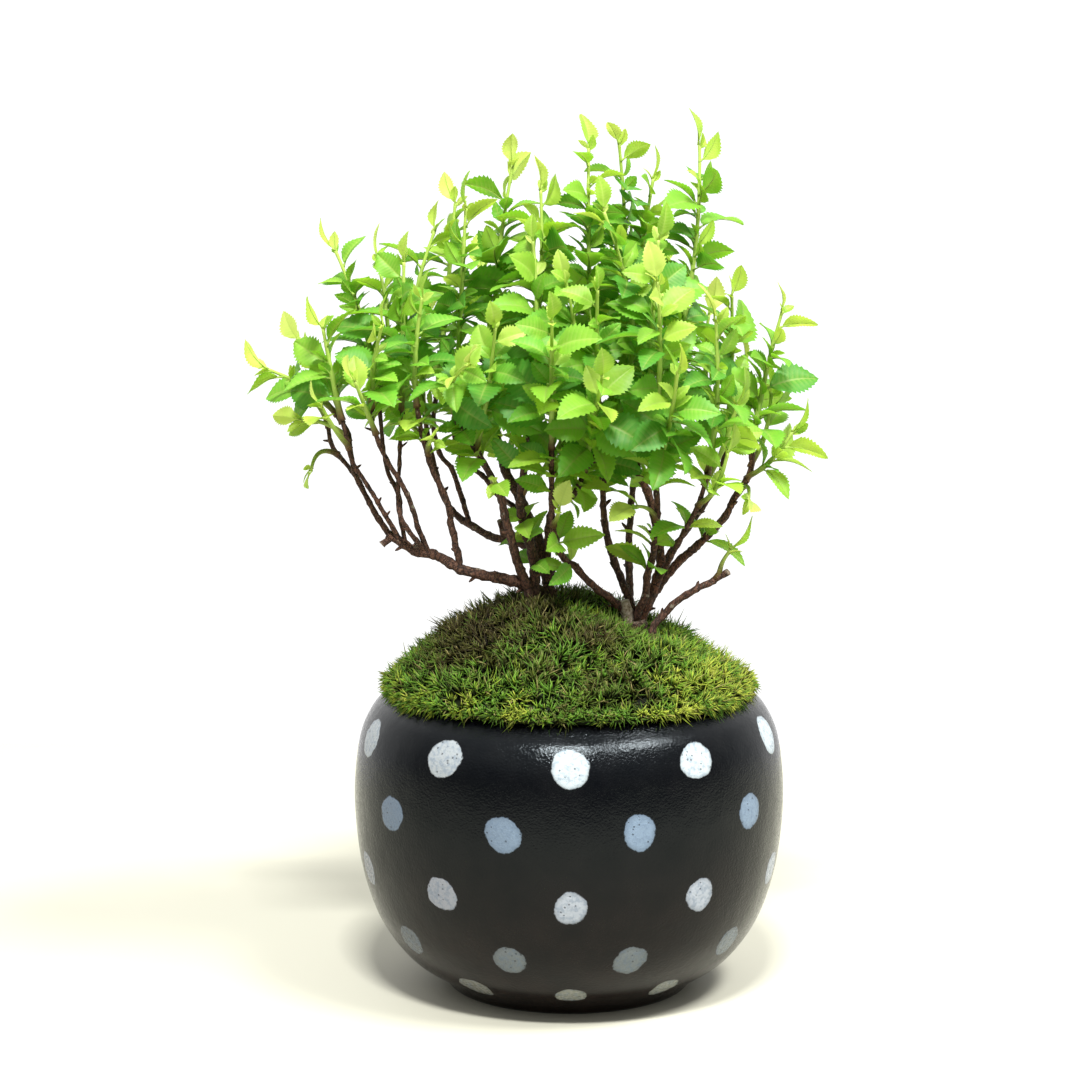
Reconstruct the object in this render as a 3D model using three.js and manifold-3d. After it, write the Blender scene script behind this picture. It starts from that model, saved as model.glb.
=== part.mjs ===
// A small Japanese spirea bonsai in a round clay pot.
// Sizes are in millimetres and +Z is up. The pot stands on z = 0 with its axis on the Z axis, and the
// front of the tree looks along -Y. The last step moves the group so that its box is centred on the axes.
import * as THREE from 'three';
import { mergeVertices } from 'three/addons/utils/BufferGeometryUtils.js';
import Module from 'manifold-3d';

const wasm = await Module();
wasm.setup();

// Driving dimensions of the pot
const TOUCH_GAP = 0.3; // clearance between two pieces that touch
const ROUND_SIDES = 32;
const HOLE_SIDES = 10;
const POT_HEIGHT = 84;
const FLOOR_TOP = 7; // upper face of the pot's floor
const FOOT_RECESS = 2;
const FOOT_INNER_RADIUS = 30;
const DRAIN_RADIUS = 6;
// Radius and height of the outer wall, from the foot up over the belly to the lip
const POT_OUTSIDE = [
  [34, 0], [36.5, 3.2], [45.6, 9.5], [53.1, 19.7], [57.5, 32], [59.6, 45], [60, 58],
  [58.4, 71], [55.2, 78.4], [51.8, 82], [49.3, POT_HEIGHT],
];
const NECK_RADIUS = 46.6; // the mouth, inside the lip
// Radius and height of the inner wall, from the mouth down
const POT_INSIDE = [[NECK_RADIUS, 82.6], [53.4, 66], [54.4, 46], [48.5, 21], [37, FLOOR_TOP]];

// The mound of soil and the moss over it
const SOIL_MOUND = 17; // rise of the soil above the rim
const MOSS_RADIUS = 49.8; // just over the rim of the pot
const MOSS_RISE = 25;
const MOSS_EDGE = 3.2; // thickness of the cushion where it ends on the rim
const MOSS_TILT = 2.5; // how much lower the mound is at its right edge, and higher at its left
const DOME_POWER = 2.1; // a larger one makes the mound flatter on top and steeper at its edge
const TILT_POWER = 6; // how late the tilt fades towards the edge
const TUFT_HEIGHT = 2.2;
const TUFT_SPREAD = 0.9; // how much the tufts differ in height
const MOSS_ROWS = [MOSS_RADIUS + 0.6, MOSS_RADIUS - 1.5, 44, 38, 31.5, 24.5, 17, 9]; // radii of the tuft rows
// Plain round holes that the wood stands in: [x, y, radius, height of the floor]
const HOLES = {
  wood_left: [-7, -1.3, 4.9, 79.7],
  wood_right: [17.8, 1.4, 5.6, 79.7],
  wood_side: [22.8, -8.6, 2.2, 81.7],
};

// Old wood: each stem is [radius at its foot, radius at its end, sides, points from foot to end]
const LEFT_WOOD = {
  trunk: [2.6, 1.0, 6, [[-6, 0, 80], [-5.5, 0, 100], [-5.5, 0, 110], [-6, 0, 117], [-8, 0, 124],
    [-11.5, 2, 132], [-14, 4, 138], [-18, 8, 145], [-20, 10, 153], [-21, 11, 161]]],
  front_trunk: [1.9, 0.8, 5, [[-7, -1, 95], [-9.5, -3, 110], [-9.5, -4, 119], [-11, -6, 126],
    [-13.5, -8, 136], [-12, -10, 150], [-10, -11, 163]]],
  leaning: [1.5, 0.8, 5, [[-8.5, -2.5, 106], [-13.5, -6, 118.5], [-16, -8, 127.5], [-18, -9, 135],
    [-19, -10, 140], [-25, -12, 152], [-30.5, -14, 161]]],
  low_branch: [1.8, 1.2, 6, [[-5.5, 0, 110], [-13.5, -4, 114.5], [-21, -6, 116.5], [-29.5, -8, 119],
    [-37, -8, 123], [-42, -8, 124], [-46, -8, 126.5], [-50, -8, 129]]],
  low_end: [1.0, 0.7, 5, [[-49, -8, 128], [-54.5, -6, 136.5], [-58.5, -4, 144], [-60, -2, 149],
    [-61, 0, 156], [-64.5, 2, 161]]],
  low_fork: [0.8, 0.7, 4, [[-58.5, -4, 144], [-62, 1, 147.5], [-65.5, 5, 151], [-67, 8, 157]]],
  outer_twig: [0.8, 0.6, 4, [[-46, -8, 126.5], [-48.5, -10, 131], [-51, -12, 136], [-55, -13, 143],
    [-59, -14, 150], [-62, -14, 162]]],
  rear_twig: [0.8, 0.6, 4, [[-45, -7.5, 126], [-46.5, -5, 133.5], [-47, -3, 139], [-50.5, 1, 146],
    [-52, 4, 157], [-53, 6, 168]]],
  mid_twig: [0.8, 0.6, 4, [[-39.5, -8, 124], [-43.5, -12, 130], [-46.5, -13.5, 136], [-46.5, -10, 150],
    [-46, -8, 163]]],
  front_twig: [0.9, 0.7, 4, [[-38.5, -8, 123.5], [-41.5, -10.5, 131], [-43, -14, 137.5], [-45.5, -17, 144],
    [-49.5, -19, 151], [-53, -20, 160], [-53.5, -21, 166]]],
  upright: [1.2, 0.7, 5, [[-30, -8, 119], [-31, -9, 125], [-32.5, -10, 132], [-33.5, -12, 139],
    [-37.5, -14, 148], [-40.5, -16, 160], [-41.5, -17, 166]]],
  rear_branch: [1.4, 0.8, 5, [[-6, 0, 118], [-11, 6, 122.5], [-17, 10, 124], [-22, 14, 124.5],
    [-26.5, 18, 126.5], [-31, 22, 128.5], [-35, 24, 133.5], [-39, 27, 146], [-41, 29, 158]]],
  rear_upright: [0.9, 0.7, 4, [[-28, 19.5, 127.2], [-31, 20, 137], [-33, 19, 143], [-36.5, 18, 148],
    [-38, 17, 156], [-37, 17, 164]]],
  rear_stub: [0.9, 0.8, 4, [[-18, 10.7, 124], [-19.5, 8.5, 130]]],
  inner_twig: [0.9, 0.7, 4, [[-11.5, 2, 132], [-20, 5, 138], [-24, 6.5, 143], [-28, 7, 146],
    [-31.5, 7, 151.5], [-32, 7, 158], [-31.5, 6, 165]]],
  crossing: [1.2, 0.7, 5, [[-5.8, 0, 116], [-6, -3, 129], [-3.5, -5, 137.5], [1, -7, 139.5],
    [4.5, -8, 147], [7, -9, 150], [8.5, -11, 156], [8, -13, 162]]],
  low_knob: [1.5, 1.3, 5, [[-41, -8, 123.8], [-42, -8.5, 126.2]]],
  cut_stub: [1.2, 1.1, 5, [[-49, -8, 128], [-51.5, -8.5, 126]]],
};
const RIGHT_WOOD = {
  stump: [3.4, 3.0, 6, [[17.5, 1, 80], [17.5, 1, 103]]],
  low_left: [1.3, 0.8, 5, [[16.5, 0, 105], [11, -4, 110.5], [8, -6, 113], [4.5, -8, 116.5],
    [1.5, -9, 120], [-2, -10, 123], [-4.5, -13, 131], [-5, -17, 143], [-5, -21, 155]]],
  upright: [1.4, 0.8, 5, [[17.5, 2, 101], [17, 3, 107.5], [15, 4, 113], [12.5, 4, 119.5],
    [10.5, 4, 126.5], [9.5, 4, 133.5], [9.5, 4, 144], [9, 3, 153], [8, 2, 160]]],
  front_stem: [1.3, 0.8, 5, [[18.5, 0, 101], [19, -2, 105.5], [21, -4, 111], [21.5, -6, 117],
    [23, -8, 123.5], [24, -10, 135], [23, -12.5, 149], [22, -14, 162]]],
  red_stem: [1.6, 0.9, 5, [[19, 1, 101], [21.5, 1, 107.5], [24, 1, 113.5], [25.5, 1, 119],
    [25, 1, 124], [23.5, 2, 133], [22, 4, 138], [19, 6, 145], [18, 8, 153], [17.5, 10, 160]]],
  right_stem: [1.5, 0.8, 5, [[19, 2, 101], [22.5, 4, 108], [26, 4, 113.5], [30.5, 4, 119], [35, 4, 123],
    [38.5, 4, 126.5], [43.5, 4, 132], [46, 4, 137], [50, 4, 144], [50.5, 4, 150]]],
  right_rear: [1.0, 0.7, 4, [[23.5, 4, 109.6], [26.5, 8, 117.5], [29.5, 10, 122.5], [33, 12, 126.5],
    [39, 16, 134.5], [41.5, 18, 138], [44, 20, 147], [45, 22, 157]]],
  right_front: [1.0, 0.7, 4, [[24, 1, 113.5], [27, -4, 120], [31, -10, 129], [35, -14, 138],
    [37.5, -17, 148]]],
  rear_stem: [1.4, 0.8, 5, [[17.5, 2, 101], [17, 9, 111], [17, 16, 122], [18, 23, 135], [20, 29, 147],
    [21, 32, 158]]],
  cut_knob: [1.9, 1.6, 5, [[17, -0.5, 101], [15.2, -1.8, 109]]],
};
const SIDE_WOOD = {
  stem: [1.3, 1.0, 5, [[22.5, -9, 82], [22.5, -8.7, 97], [23.2, -8.2, 103], [26, -8, 106.3],
    [29.5, -8.5, 110], [35, -9.5, 114], [39, -10, 116], [43.5, -11, 119]]],
};
const WOOD = { wood_left: LEFT_WOOD, wood_right: RIGHT_WOOD, wood_side: SIDE_WOOD };

// Green shoots: [piece of wood, its stem, how far along that stem, tip of the shoot]
const SHOOTS = [
  ['wood_left', 'low_end', 1, [-89, -4, 178]],
  ['wood_left', 'low_end', 0.93, [-78, 6, 187]],
  ['wood_left', 'low_end', 0.78, [-80, -9, 163]],
  ['wood_left', 'low_fork', 1, [-77, 15, 171]],
  ['wood_left', 'low_fork', 0.55, [-75, -8, 142]],
  ['wood_left', 'outer_twig', 1, [-68, -17, 194]],
  ['wood_left', 'outer_twig', 0.8, [-70, -26, 172]],
  ['wood_left', 'rear_twig', 1, [-67, 14, 212]],
  ['wood_left', 'rear_twig', 0.9, [-53, 7, 211]],
  ['wood_left', 'mid_twig', 1, [-45, -4, 211]],
  ['wood_left', 'front_twig', 1, [-49, -30, 196]],
  ['wood_left', 'front_twig', 0.85, [-59, -38, 180]],
  ['wood_left', 'upright', 1, [-39, -24, 203]],
  ['wood_left', 'upright', 0.72, [-35, -32, 160]],
  ['wood_left', 'rear_branch', 1, [-41, 38, 189]],
  ['wood_left', 'rear_branch', 0.88, [-57, 34, 178]],
  ['wood_left', 'rear_upright', 1, [-31, 22, 225]],
  ['wood_left', 'rear_upright', 0.8, [-37, 12, 218]],
  ['wood_left', 'inner_twig', 1, [-28, 4, 225]],
  ['wood_left', 'leaning', 1, [-26, -44, 184]],
  ['wood_left', 'leaning', 0.84, [-19, -32, 195]],
  ['wood_left', 'leaning', 0.66, [-19, -28, 145]],
  ['wood_left', 'trunk', 1, [-15, 16, 236]],
  ['wood_left', 'trunk', 0.92, [-25, 38, 204]],
  ['wood_left', 'trunk', 0.82, [-7, 1, 230]],
  ['wood_left', 'front_trunk', 1, [-10, -7, 217]],
  ['wood_left', 'front_trunk', 0.68, [0, -16, 207]],
  ['wood_left', 'crossing', 1, [7, -30, 205]],
  ['wood_left', 'crossing', 0.66, [9, -49, 182]],
  ['wood_right', 'low_left', 1, [-5, -46, 198]],
  ['wood_right', 'low_left', 0.62, [-2, -24, 142]],
  ['wood_right', 'upright', 1, [5, 10, 241]],
  ['wood_right', 'upright', 0.93, [9, -12, 225]],
  ['wood_right', 'upright', 0.8, [14, 15, 242]],
  ['wood_right', 'upright', 0.66, [-7, 44, 209]],
  ['wood_right', 'front_stem', 1, [24, -16, 218]],
  ['wood_right', 'front_stem', 0.93, [23, -40, 208]],
  ['wood_right', 'front_stem', 0.76, [29, -45, 183]],
  ['wood_right', 'front_stem', 0.55, [13, -20, 140]],
  ['wood_right', 'red_stem', 1, [24, 19, 232]],
  ['wood_right', 'red_stem', 0.86, [37, 6, 242]],
  ['wood_right', 'rear_stem', 1, [9, 46, 215]],
  ['wood_right', 'rear_stem', 0.9, [28, 40, 208]],
  ['wood_right', 'right_stem', 1, [60, 2, 197]],
  ['wood_right', 'right_stem', 0.94, [58, 11, 173]],
  ['wood_right', 'right_stem', 0.88, [66, -5, 162]],
  ['wood_right', 'right_stem', 0.8, [50, -13, 136]],
  ['wood_right', 'right_front', 1, [39, -27, 197]],
  ['wood_right', 'right_front', 0.9, [48, -16, 173]],
  ['wood_right', 'right_front', 0.75, [45, -28, 160]],
  ['wood_right', 'right_rear', 1, [45, 9, 200]],
  ['wood_right', 'right_rear', 0.92, [39, 37, 192]],
  ['wood_right', 'right_rear', 0.84, [51, 31, 177]],
];
const SIDE_SHOOT = ['wood_side', 'stem', 0.93, [47, -11, 130]];

// Growth of the shoots
const SHOOT_FOOT_RADIUS = 0.8;
const SHOOT_TIP_RADIUS = 0.5;
const SHOOT_STEP = 6; // length of one straight piece of a shoot
const SHOOT_BOW = 0.45; // share of its length for which a shoot keeps its first direction
const START_TURN = 0.35; // how much a shoot at the end of a stem turns to its own tip at once
const END_LEAF_REACH = 7.65; // a shoot's stem ends this far short of its tip, where the end leaf goes on
const LEAST_STEM = 0.5; // share of a short shoot that stays stem
const SKIN_SCALE = 1.35; // a three-cornered stem reaches out this much more than a round one
const NODE_HALF = 0.5; // half of the length of stem that a leaf grows out of
const SHOOT_ROOM = 0.6; // least air between two stems

// Growth of the leaves, from the young ones at the tip to the full grown ones
const LEAF_SPACING = 5.7;
const TIP_SPACING = 0.8; // share of the spacing that is left at the tip
const TIP_RANKS = 3; // leaves over which the spacing opens up
const SPIRAL = 137.5; // degrees from one leaf to the next round the stem
const BARE_FOOT = 5; // length of a shoot's foot with no leaf
const FULL_AGE = 18; // distance from the tip at which a leaf is full grown
const YOUNG_LENGTH = 9.5;
const FULL_LENGTH = 15;
const LENGTH_SPREAD = 0.22; // share by which a leaf may be longer or shorter
const YOUNG_WIDTH = 0.58; // share of the length
const FULL_WIDTH = 0.62;
const WIDTH_SPREAD = 0.07;
const YOUNG_ANGLE = 44; // degrees between leaf and stem
const FULL_ANGLE = 72;
const ANGLE_SPREAD = 16;
const END_LEAF_ANGLE = 28; // most that the end leaf bends away from its stem
const AZIMUTH_SPREAD = 15;
const ROLL_SPREAD = 40;
const YOUNG_DROOP = 0.05; // share of the length by which the point hangs down
const FULL_DROOP = 0.2;
const DROOP_SPREAD = 0.08;
const LIGHT_FROM_ABOVE = 0.6; // a leaf turns its face to the light
const LIGHT_FROM_OUTSIDE = 0.75;
const LIGHT_ALONG_STEM = 0.2;
const STALK_WIDTH = 0.08; // share of the blade's half width
const BLADE_LEAN = 0.86; // below 1 the blade is widest nearer to its stalk
const BLADE_FULLNESS = 0.85; // below 1 the blade is rounder
const LEAF_ARCH = 0.07;
const LEAF_FOLD = 0.22;
const RIB_HALF = 0.5; // half of the blade's thickness at its rib
const PETIOLE = 0.13; // share of the leaf's length
const GROWN_EDGE_AGE = 0.95; // from this share of full age a leaf has one more tooth on each side
const FACE_ROOM = 1.35; // least distance between the middle faces of two blades
const EDGE_ROOM = 0.8; // least distance past the edge of a blade
const STEM_ROOM = 1; // least distance from the middle face of a blade to a stem
const DOT_STEP = 1.5; // distance between the dots that mark out a stem
const NEAR_SHARE = 0.6; // leaves further apart than this share of their lengths can't touch
const OWN_STEM_FROM = 0.3; // share of a leaf, from its foot, that may lie at its own stem
const OTHER_STEM_FROM = 0.02;
const OWN_LEAF_FROM = 0.25; // and at a leaf of the same shoot
const OTHER_LEAF_FROM = 0.05;
const LEAF_TURNS = [0, 25, -25, 50, -50, 80, -80, 120, -120]; // tried in turn to find a free place
const BENDS = [4, 8, 12]; // how far a shoot may be bent aside to pass another
const BEND_TURNS = 8;
const CROWN_AXIS = [-10, 0];
const SEED = 41;

const DEGREE = Math.PI / 180;
const UP = new THREE.Vector3(0, 0, 1);
const SIDEWAYS = new THREE.Vector3(1, 0, 0);
const BACKWARDS = new THREE.Vector3(0, 1, 0);

// A repeatable draw from 0 to 1 for one leaf of one shoot
function chance(shoot, leaf, use) {
  let n = Math.imul(shoot + 1, 73856093) ^ Math.imul(leaf + 1, 19349663) ^ Math.imul(use + SEED, 83492791);
  n >>>= 0;
  for (let round = 0; round < 3; round += 1) {
    n = (n ^ (n << 13)) >>> 0;
    n = (n ^ (n >>> 17)) >>> 0;
    n = (n ^ (n << 5)) >>> 0;
    n = (Math.imul(n, 1664525) + 1013904223) >>> 0;
  }
  return n / 4294967296;
}

const vector = ([x, y, z]) => new THREE.Vector3(x, y, z);
const mix = (a, b, share) => a + (b - a) * share;

// Solids

function solidOf(geometry) {
  const bare = geometry.clone();
  bare.deleteAttribute('normal');
  bare.deleteAttribute('uv');
  const merged = mergeVertices(bare, 1e-4);
  const triVerts = new Uint32Array(merged.index.array);
  return new wasm.Manifold(new wasm.Mesh({
    numProp: 3, vertProperties: merged.attributes.position.array, triVerts,
  }));
}

// A closed surface from its corners and its triangles
function closedSurface(corners, triangles) {
  const geometry = new THREE.BufferGeometry();
  const numbers = corners.flatMap((corner) => corner.toArray());
  geometry.setAttribute('position', new THREE.Float32BufferAttribute(numbers, 3));
  geometry.setIndex(triangles.flat());
  return geometry;
}

function pieceOf(name, solid, material) {
  const made = solid.simplify(0.01).getMesh();
  const geometry = new THREE.BufferGeometry();
  geometry.setAttribute('position', new THREE.BufferAttribute(made.vertProperties, 3));
  geometry.setIndex(new THREE.BufferAttribute(made.triVerts, 1));
  geometry.computeVertexNormals();
  const mesh = new THREE.Mesh(geometry, material);
  mesh.name = name;
  return mesh;
}

// Rings of equal length from foot to end, closed by a fan at each end
function loft(rings, footCentre, endCentre) {
  const sides = rings[0].length;
  const corners = [...rings.flat(), footCentre, endCentre];
  const foot = corners.length - 2;
  const end = corners.length - 1;
  const lastRing = (rings.length - 1) * sides;
  const triangles = [];
  for (let side = 0; side < sides; side += 1) {
    const next = (side + 1) % sides;
    triangles.push([foot, next, side], [end, lastRing + side, lastRing + next]);
    for (let ring = 0; ring + 1 < rings.length; ring += 1) {
      const low = ring * sides;
      const high = low + sides;
      triangles.push([low + side, low + next, high + next], [low + side, high + next, high + side]);
    }
  }
  return closedSurface(corners, triangles);
}

// Two directions across a stem that runs along tangent
function across(tangent) {
  const guide = Math.abs(tangent.x) > 0.9 ? BACKWARDS : SIDEWAYS;
  const first = guide.clone().addScaledVector(tangent, -guide.dot(tangent)).normalize();
  return [first, new THREE.Vector3().crossVectors(tangent, first)];
}

function tangentsOf(points) {
  return points.map((point, i) => {
    const before = points[Math.max(i - 1, 0)];
    const after = points[Math.min(i + 1, points.length - 1)];
    return after.clone().sub(before).normalize();
  });
}

// A tapered stem through points
function stemSolid(points, footRadius, endRadius, sides) {
  const tangents = tangentsOf(points);
  const rings = points.map((point, i) => {
    const radius = mix(footRadius, endRadius, i / (points.length - 1));
    const [first, second] = across(tangents[i]);
    return Array.from({ length: sides }, (_, side) => {
      const angle = (2 * Math.PI * side) / sides;
      return point.clone().addScaledVector(first, radius * Math.cos(angle))
        .addScaledVector(second, radius * Math.sin(angle));
    });
  });
  return solidOf(loft(rings, points[0], points[points.length - 1]));
}

// Pot, soil and moss

function roundPiece(profile) {
  const outline = [...profile, profile[0]].map(([radius, height]) => new THREE.Vector2(radius, height));
  return solidOf(new THREE.LatheGeometry(outline, ROUND_SIDES).rotateX(Math.PI / 2));
}

function potSolid() {
  return roundPiece([
    [DRAIN_RADIUS, FOOT_RECESS], [FOOT_INNER_RADIUS, FOOT_RECESS], [FOOT_INNER_RADIUS, 0],
    ...POT_OUTSIDE, [NECK_RADIUS + 1, POT_HEIGHT], ...POT_INSIDE, [DRAIN_RADIUS, FLOOR_TOP],
  ]);
}

// Height of the soil mound at a radius
const soilTop = (radius) => POT_HEIGHT + SOIL_MOUND * (1 - (radius / NECK_RADIUS) ** 2);
const MOUND_RADII = [0, 16, 32, NECK_RADIUS - TOUCH_GAP];

function soilSolid() {
  const top = MOUND_RADII.map((radius) => [radius, soilTop(radius)]);
  const bottom = FLOOR_TOP + TOUCH_GAP;
  const sides = POT_INSIDE.map(([radius, height]) => [radius - TOUCH_GAP, Math.max(height, bottom)]);
  const outline = [[0, bottom], ...sides.reverse(), ...top.reverse()];
  const points = outline.map(([radius, height]) => new THREE.Vector2(radius, height));
  return solidOf(new THREE.LatheGeometry(points, ROUND_SIDES).rotateX(Math.PI / 2));
}

// Upper face of the moss: a mound, fuller on the left, with pointed tufts on every other corner
function mossTop(radius, angle, raised) {
  const share = radius / MOSS_RADIUS;
  const rise = (MOSS_RISE - MOSS_EDGE) * (1 - share ** DOME_POWER);
  const tilt = MOSS_TILT * share * Math.cos(angle) * (1 - share ** TILT_POWER);
  return POT_HEIGHT + MOSS_EDGE + rise - tilt - (raised ? 0 : TUFT_HEIGHT);
}

function mossSolid() {
  const ring = (radius, heightAt) => Array.from({ length: ROUND_SIDES }, (_, side) => {
    const angle = (2 * Math.PI * side) / ROUND_SIDES - Math.PI / 2;
    return new THREE.Vector3(radius * Math.cos(angle), radius * Math.sin(angle), heightAt(angle, side));
  });
  const under = MOUND_RADII.slice(1).map((radius) => ring(radius, () => soilTop(radius) + TOUCH_GAP));
  const rim = ring(MOSS_RADIUS - 0.5, () => POT_HEIGHT + TOUCH_GAP);
  const over = MOSS_ROWS.map((radius, row) => ring(radius, (angle, side) => {
    const raised = (row + side) % 2 === 0;
    return mossTop(radius, angle, raised) + TUFT_SPREAD * (chance(row, side, 1) - 0.5);
  }));
  const footCentre = new THREE.Vector3(0, 0, soilTop(0) + TOUCH_GAP);
  const topCentre = new THREE.Vector3(0, 0, mossTop(0, 0, true));
  return solidOf(loft([...under, rim, ...over], footCentre, topCentre));
}

// Old wood

function woodSolid(stems) {
  const parts = Object.values(stems).map(([foot, end, sides, points]) => (
    stemSolid(points.map(vector), foot, end, sides)));
  return wasm.Manifold.union(parts);
}

function holeSolid([x, y, radius, floor]) {
  const height = POT_HEIGHT + 2 * MOSS_RISE - floor;
  const round = new THREE.CylinderGeometry(radius, radius, height, HOLE_SIDES).rotateX(Math.PI / 2);
  return solidOf(round.translate(x, y, floor + height / 2));
}

// Green shoots: where each one runs

function along(points, distance) {
  let left = distance;
  for (let i = 0; i + 1 < points.length; i += 1) {
    const span = points[i].distanceTo(points[i + 1]);
    const tangent = points[i + 1].clone().sub(points[i]).normalize();
    if (left <= span || i + 2 === points.length) {
      return { point: points[i].clone().addScaledVector(tangent, left), tangent };
    }
    left -= span;
  }
  return null;
}

function lengthOf(points) {
  let total = 0;
  for (let i = 0; i + 1 < points.length; i += 1) {
    total += points[i].distanceTo(points[i + 1]);
  }
  return total;
}

// Dots of a stem, close together, used to keep stems and leaves apart
function dotsOf(points, footRadius, endRadius, owner) {
  const total = lengthOf(points);
  const count = Math.ceil(total / DOT_STEP);
  return Array.from({ length: count + 1 }, (_, i) => ({
    point: along(points, (total * i) / count).point,
    radius: mix(footRadius, endRadius, i / count),
    owner,
  }));
}

function woodDots() {
  return Object.entries(WOOD).flatMap(([piece, stems]) => (
    Object.values(stems).flatMap(([foot, end, , points]) => (
      dotsOf(points.map(vector), foot, end, piece)))));
}

// The end leaf reaches on to the tip, so the stem ends short of it
function curveFrom(foot, start, leafTip, shift) {
  const whole = foot.distanceTo(leafTip);
  const reach = Math.max(whole - END_LEAF_REACH, LEAST_STEM * whole);
  const tip = foot.clone().lerp(leafTip, reach / whole);
  const middle = foot.clone().addScaledVector(start, SHOOT_BOW * reach).add(shift);
  const steps = Math.max(2, Math.round(reach / SHOOT_STEP));
  return new THREE.QuadraticBezierCurve3(foot, middle, tip).getPoints(steps);
}

// A shoot leaves its stem slanting, or straight on at the stem's end, and bends up to its tip
function shootStart([piece, stem, share, tipPoint]) {
  const [footRadius, endRadius, , rawPoints] = WOOD[piece][stem];
  const points = rawPoints.map(vector);
  const tip = vector(tipPoint);
  const { point, tangent } = along(points, lengthOf(points) * share);
  if (share === 1) {
    const start = tangent.clone().lerp(tip.clone().sub(point).normalize(), START_TURN).normalize();
    return { foot: point.clone().addScaledVector(start, TOUCH_GAP + 0.5 * endRadius), start, tip };
  }
  const radius = mix(footRadius, endRadius, share);
  const outwards = tip.clone().sub(point);
  outwards.addScaledVector(tangent, -outwards.dot(tangent)).normalize();
  const start = outwards.clone().add(tangent).normalize();
  const clear = Math.SQRT2 * (radius + TOUCH_GAP) + SHOOT_FOOT_RADIUS;
  return { foot: point.clone().addScaledVector(start, clear), start, tip };
}

function clearOf(points, dots) {
  const own = dotsOf(points, SHOOT_FOOT_RADIUS, SHOOT_TIP_RADIUS, null).slice(3);
  return own.every((mine) => dots.every((other) => (
    mine.point.distanceTo(other.point) > mine.radius + other.radius + SHOOT_ROOM)));
}

function growStems(rows) {
  const dots = woodDots();
  const stems = rows.map((row, index) => {
    const { foot, start, tip } = shootStart(row);
    const shifts = [new THREE.Vector3()];
    for (const size of BENDS) {
      for (let turn = 0; turn < BEND_TURNS; turn += 1) {
        const angle = (2 * Math.PI * turn) / BEND_TURNS;
        shifts.push(new THREE.Vector3(size * Math.cos(angle), size * Math.sin(angle), 0));
      }
    }
    const routes = shifts.map((shift) => curveFrom(foot, start, tip, shift));
    const route = routes.find((points) => clearOf(points, dots));
    if (!route) {
      throw new Error(`shoot ${index} finds no way past the other stems`);
    }
    dots.push(...dotsOf(route, SHOOT_FOOT_RADIUS, SHOOT_TIP_RADIUS, index));
    return route;
  });
  return { stems, dots };
}

// Leaves: where each one sits

// Half width of the blade as a share of its full half width, at a share of its length
function widthAt(share) {
  if (share <= PETIOLE) {
    return STALK_WIDTH;
  }
  const q = Math.min((share - PETIOLE) / (1 - PETIOLE), 1);
  return Math.max(Math.sin(Math.PI * q ** BLADE_LEAN), 0) ** BLADE_FULLNESS;
}

function bladePoint(leaf, share, side) {
  const lateral = side * widthAt(share) * leaf.halfWidth;
  const rise = leaf.length * (LEAF_ARCH * Math.sin(Math.PI * share) - leaf.droop * share * share);
  return leaf.foot.clone().addScaledVector(leaf.forward, leaf.length * share)
    .addScaledVector(leaf.normal, rise + LEAF_FOLD * Math.abs(lateral))
    .addScaledVector(leaf.lateral, lateral);
}

// How far from the end of the shoot a leaf grows: closer together near the tip
const backOf = (rank) => LEAF_SPACING * rank * mix(TIP_SPACING, 1, Math.min(1, rank / TIP_RANKS));

function makeLeaf(shoot, rank, stem, turn) {
  const total = lengthOf(stem);
  const back = backOf(rank);
  const { point, tangent } = along(stem, total - back);
  const age = Math.min(back / FULL_AGE, 1);
  const draw = (use) => chance(shoot, rank, use);
  const stray = (use, spread) => spread * (2 * draw(use) - 1);
  const length = mix(YOUNG_LENGTH, FULL_LENGTH, age) * (1 + stray(1, LENGTH_SPREAD));
  const halfWidth = 0.5 * length * (mix(YOUNG_WIDTH, FULL_WIDTH, age) + stray(2, WIDTH_SPREAD));
  const sideAngle = mix(YOUNG_ANGLE, FULL_ANGLE, age) + stray(3, ANGLE_SPREAD);
  const angle = rank === 0 ? END_LEAF_ANGLE * draw(3) : sideAngle;
  const azimuth = SPIRAL * rank + 360 * chance(shoot, 0, 9) + stray(4, AZIMUTH_SPREAD) + turn;
  const [first, second] = across(tangent);
  const radial = first.clone().multiplyScalar(Math.cos(azimuth * DEGREE))
    .addScaledVector(second, Math.sin(azimuth * DEGREE));
  const forward = tangent.clone().multiplyScalar(Math.cos(angle * DEGREE))
    .addScaledVector(radial, Math.sin(angle * DEGREE));
  const outwards = new THREE.Vector3(point.x - CROWN_AXIS[0], point.y - CROWN_AXIS[1], 0).normalize();
  const light = UP.clone().multiplyScalar(LIGHT_FROM_ABOVE)
    .addScaledVector(outwards, LIGHT_FROM_OUTSIDE).addScaledVector(tangent, LIGHT_ALONG_STEM);
  light.addScaledVector(forward, -light.dot(forward)).normalize();
  const level = new THREE.Vector3().crossVectors(light, forward);
  const roll = stray(5, ROLL_SPREAD) * DEGREE;
  const normal = light.clone().multiplyScalar(Math.cos(roll)).addScaledVector(level, Math.sin(roll));
  const lateral = new THREE.Vector3().crossVectors(normal, forward);
  const droop = mix(YOUNG_DROOP, FULL_DROOP, age) + DROOP_SPREAD * draw(6);
  return {
    shoot, rank, foot: point, tangent, azimuth, forward, normal, lateral, length, halfWidth, droop, age,
  };
}

const PROBE_SHARES = [0.25, 0.4, 0.55, 0.7, 0.85, 1];
const PROBE_SIDES = [-1, -0.5, 0, 0.5, 1];

function probesOf(leaf) {
  return PROBE_SHARES.flatMap((share) => PROBE_SIDES.map((side) => bladePoint(leaf, share, side)));
}

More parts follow.
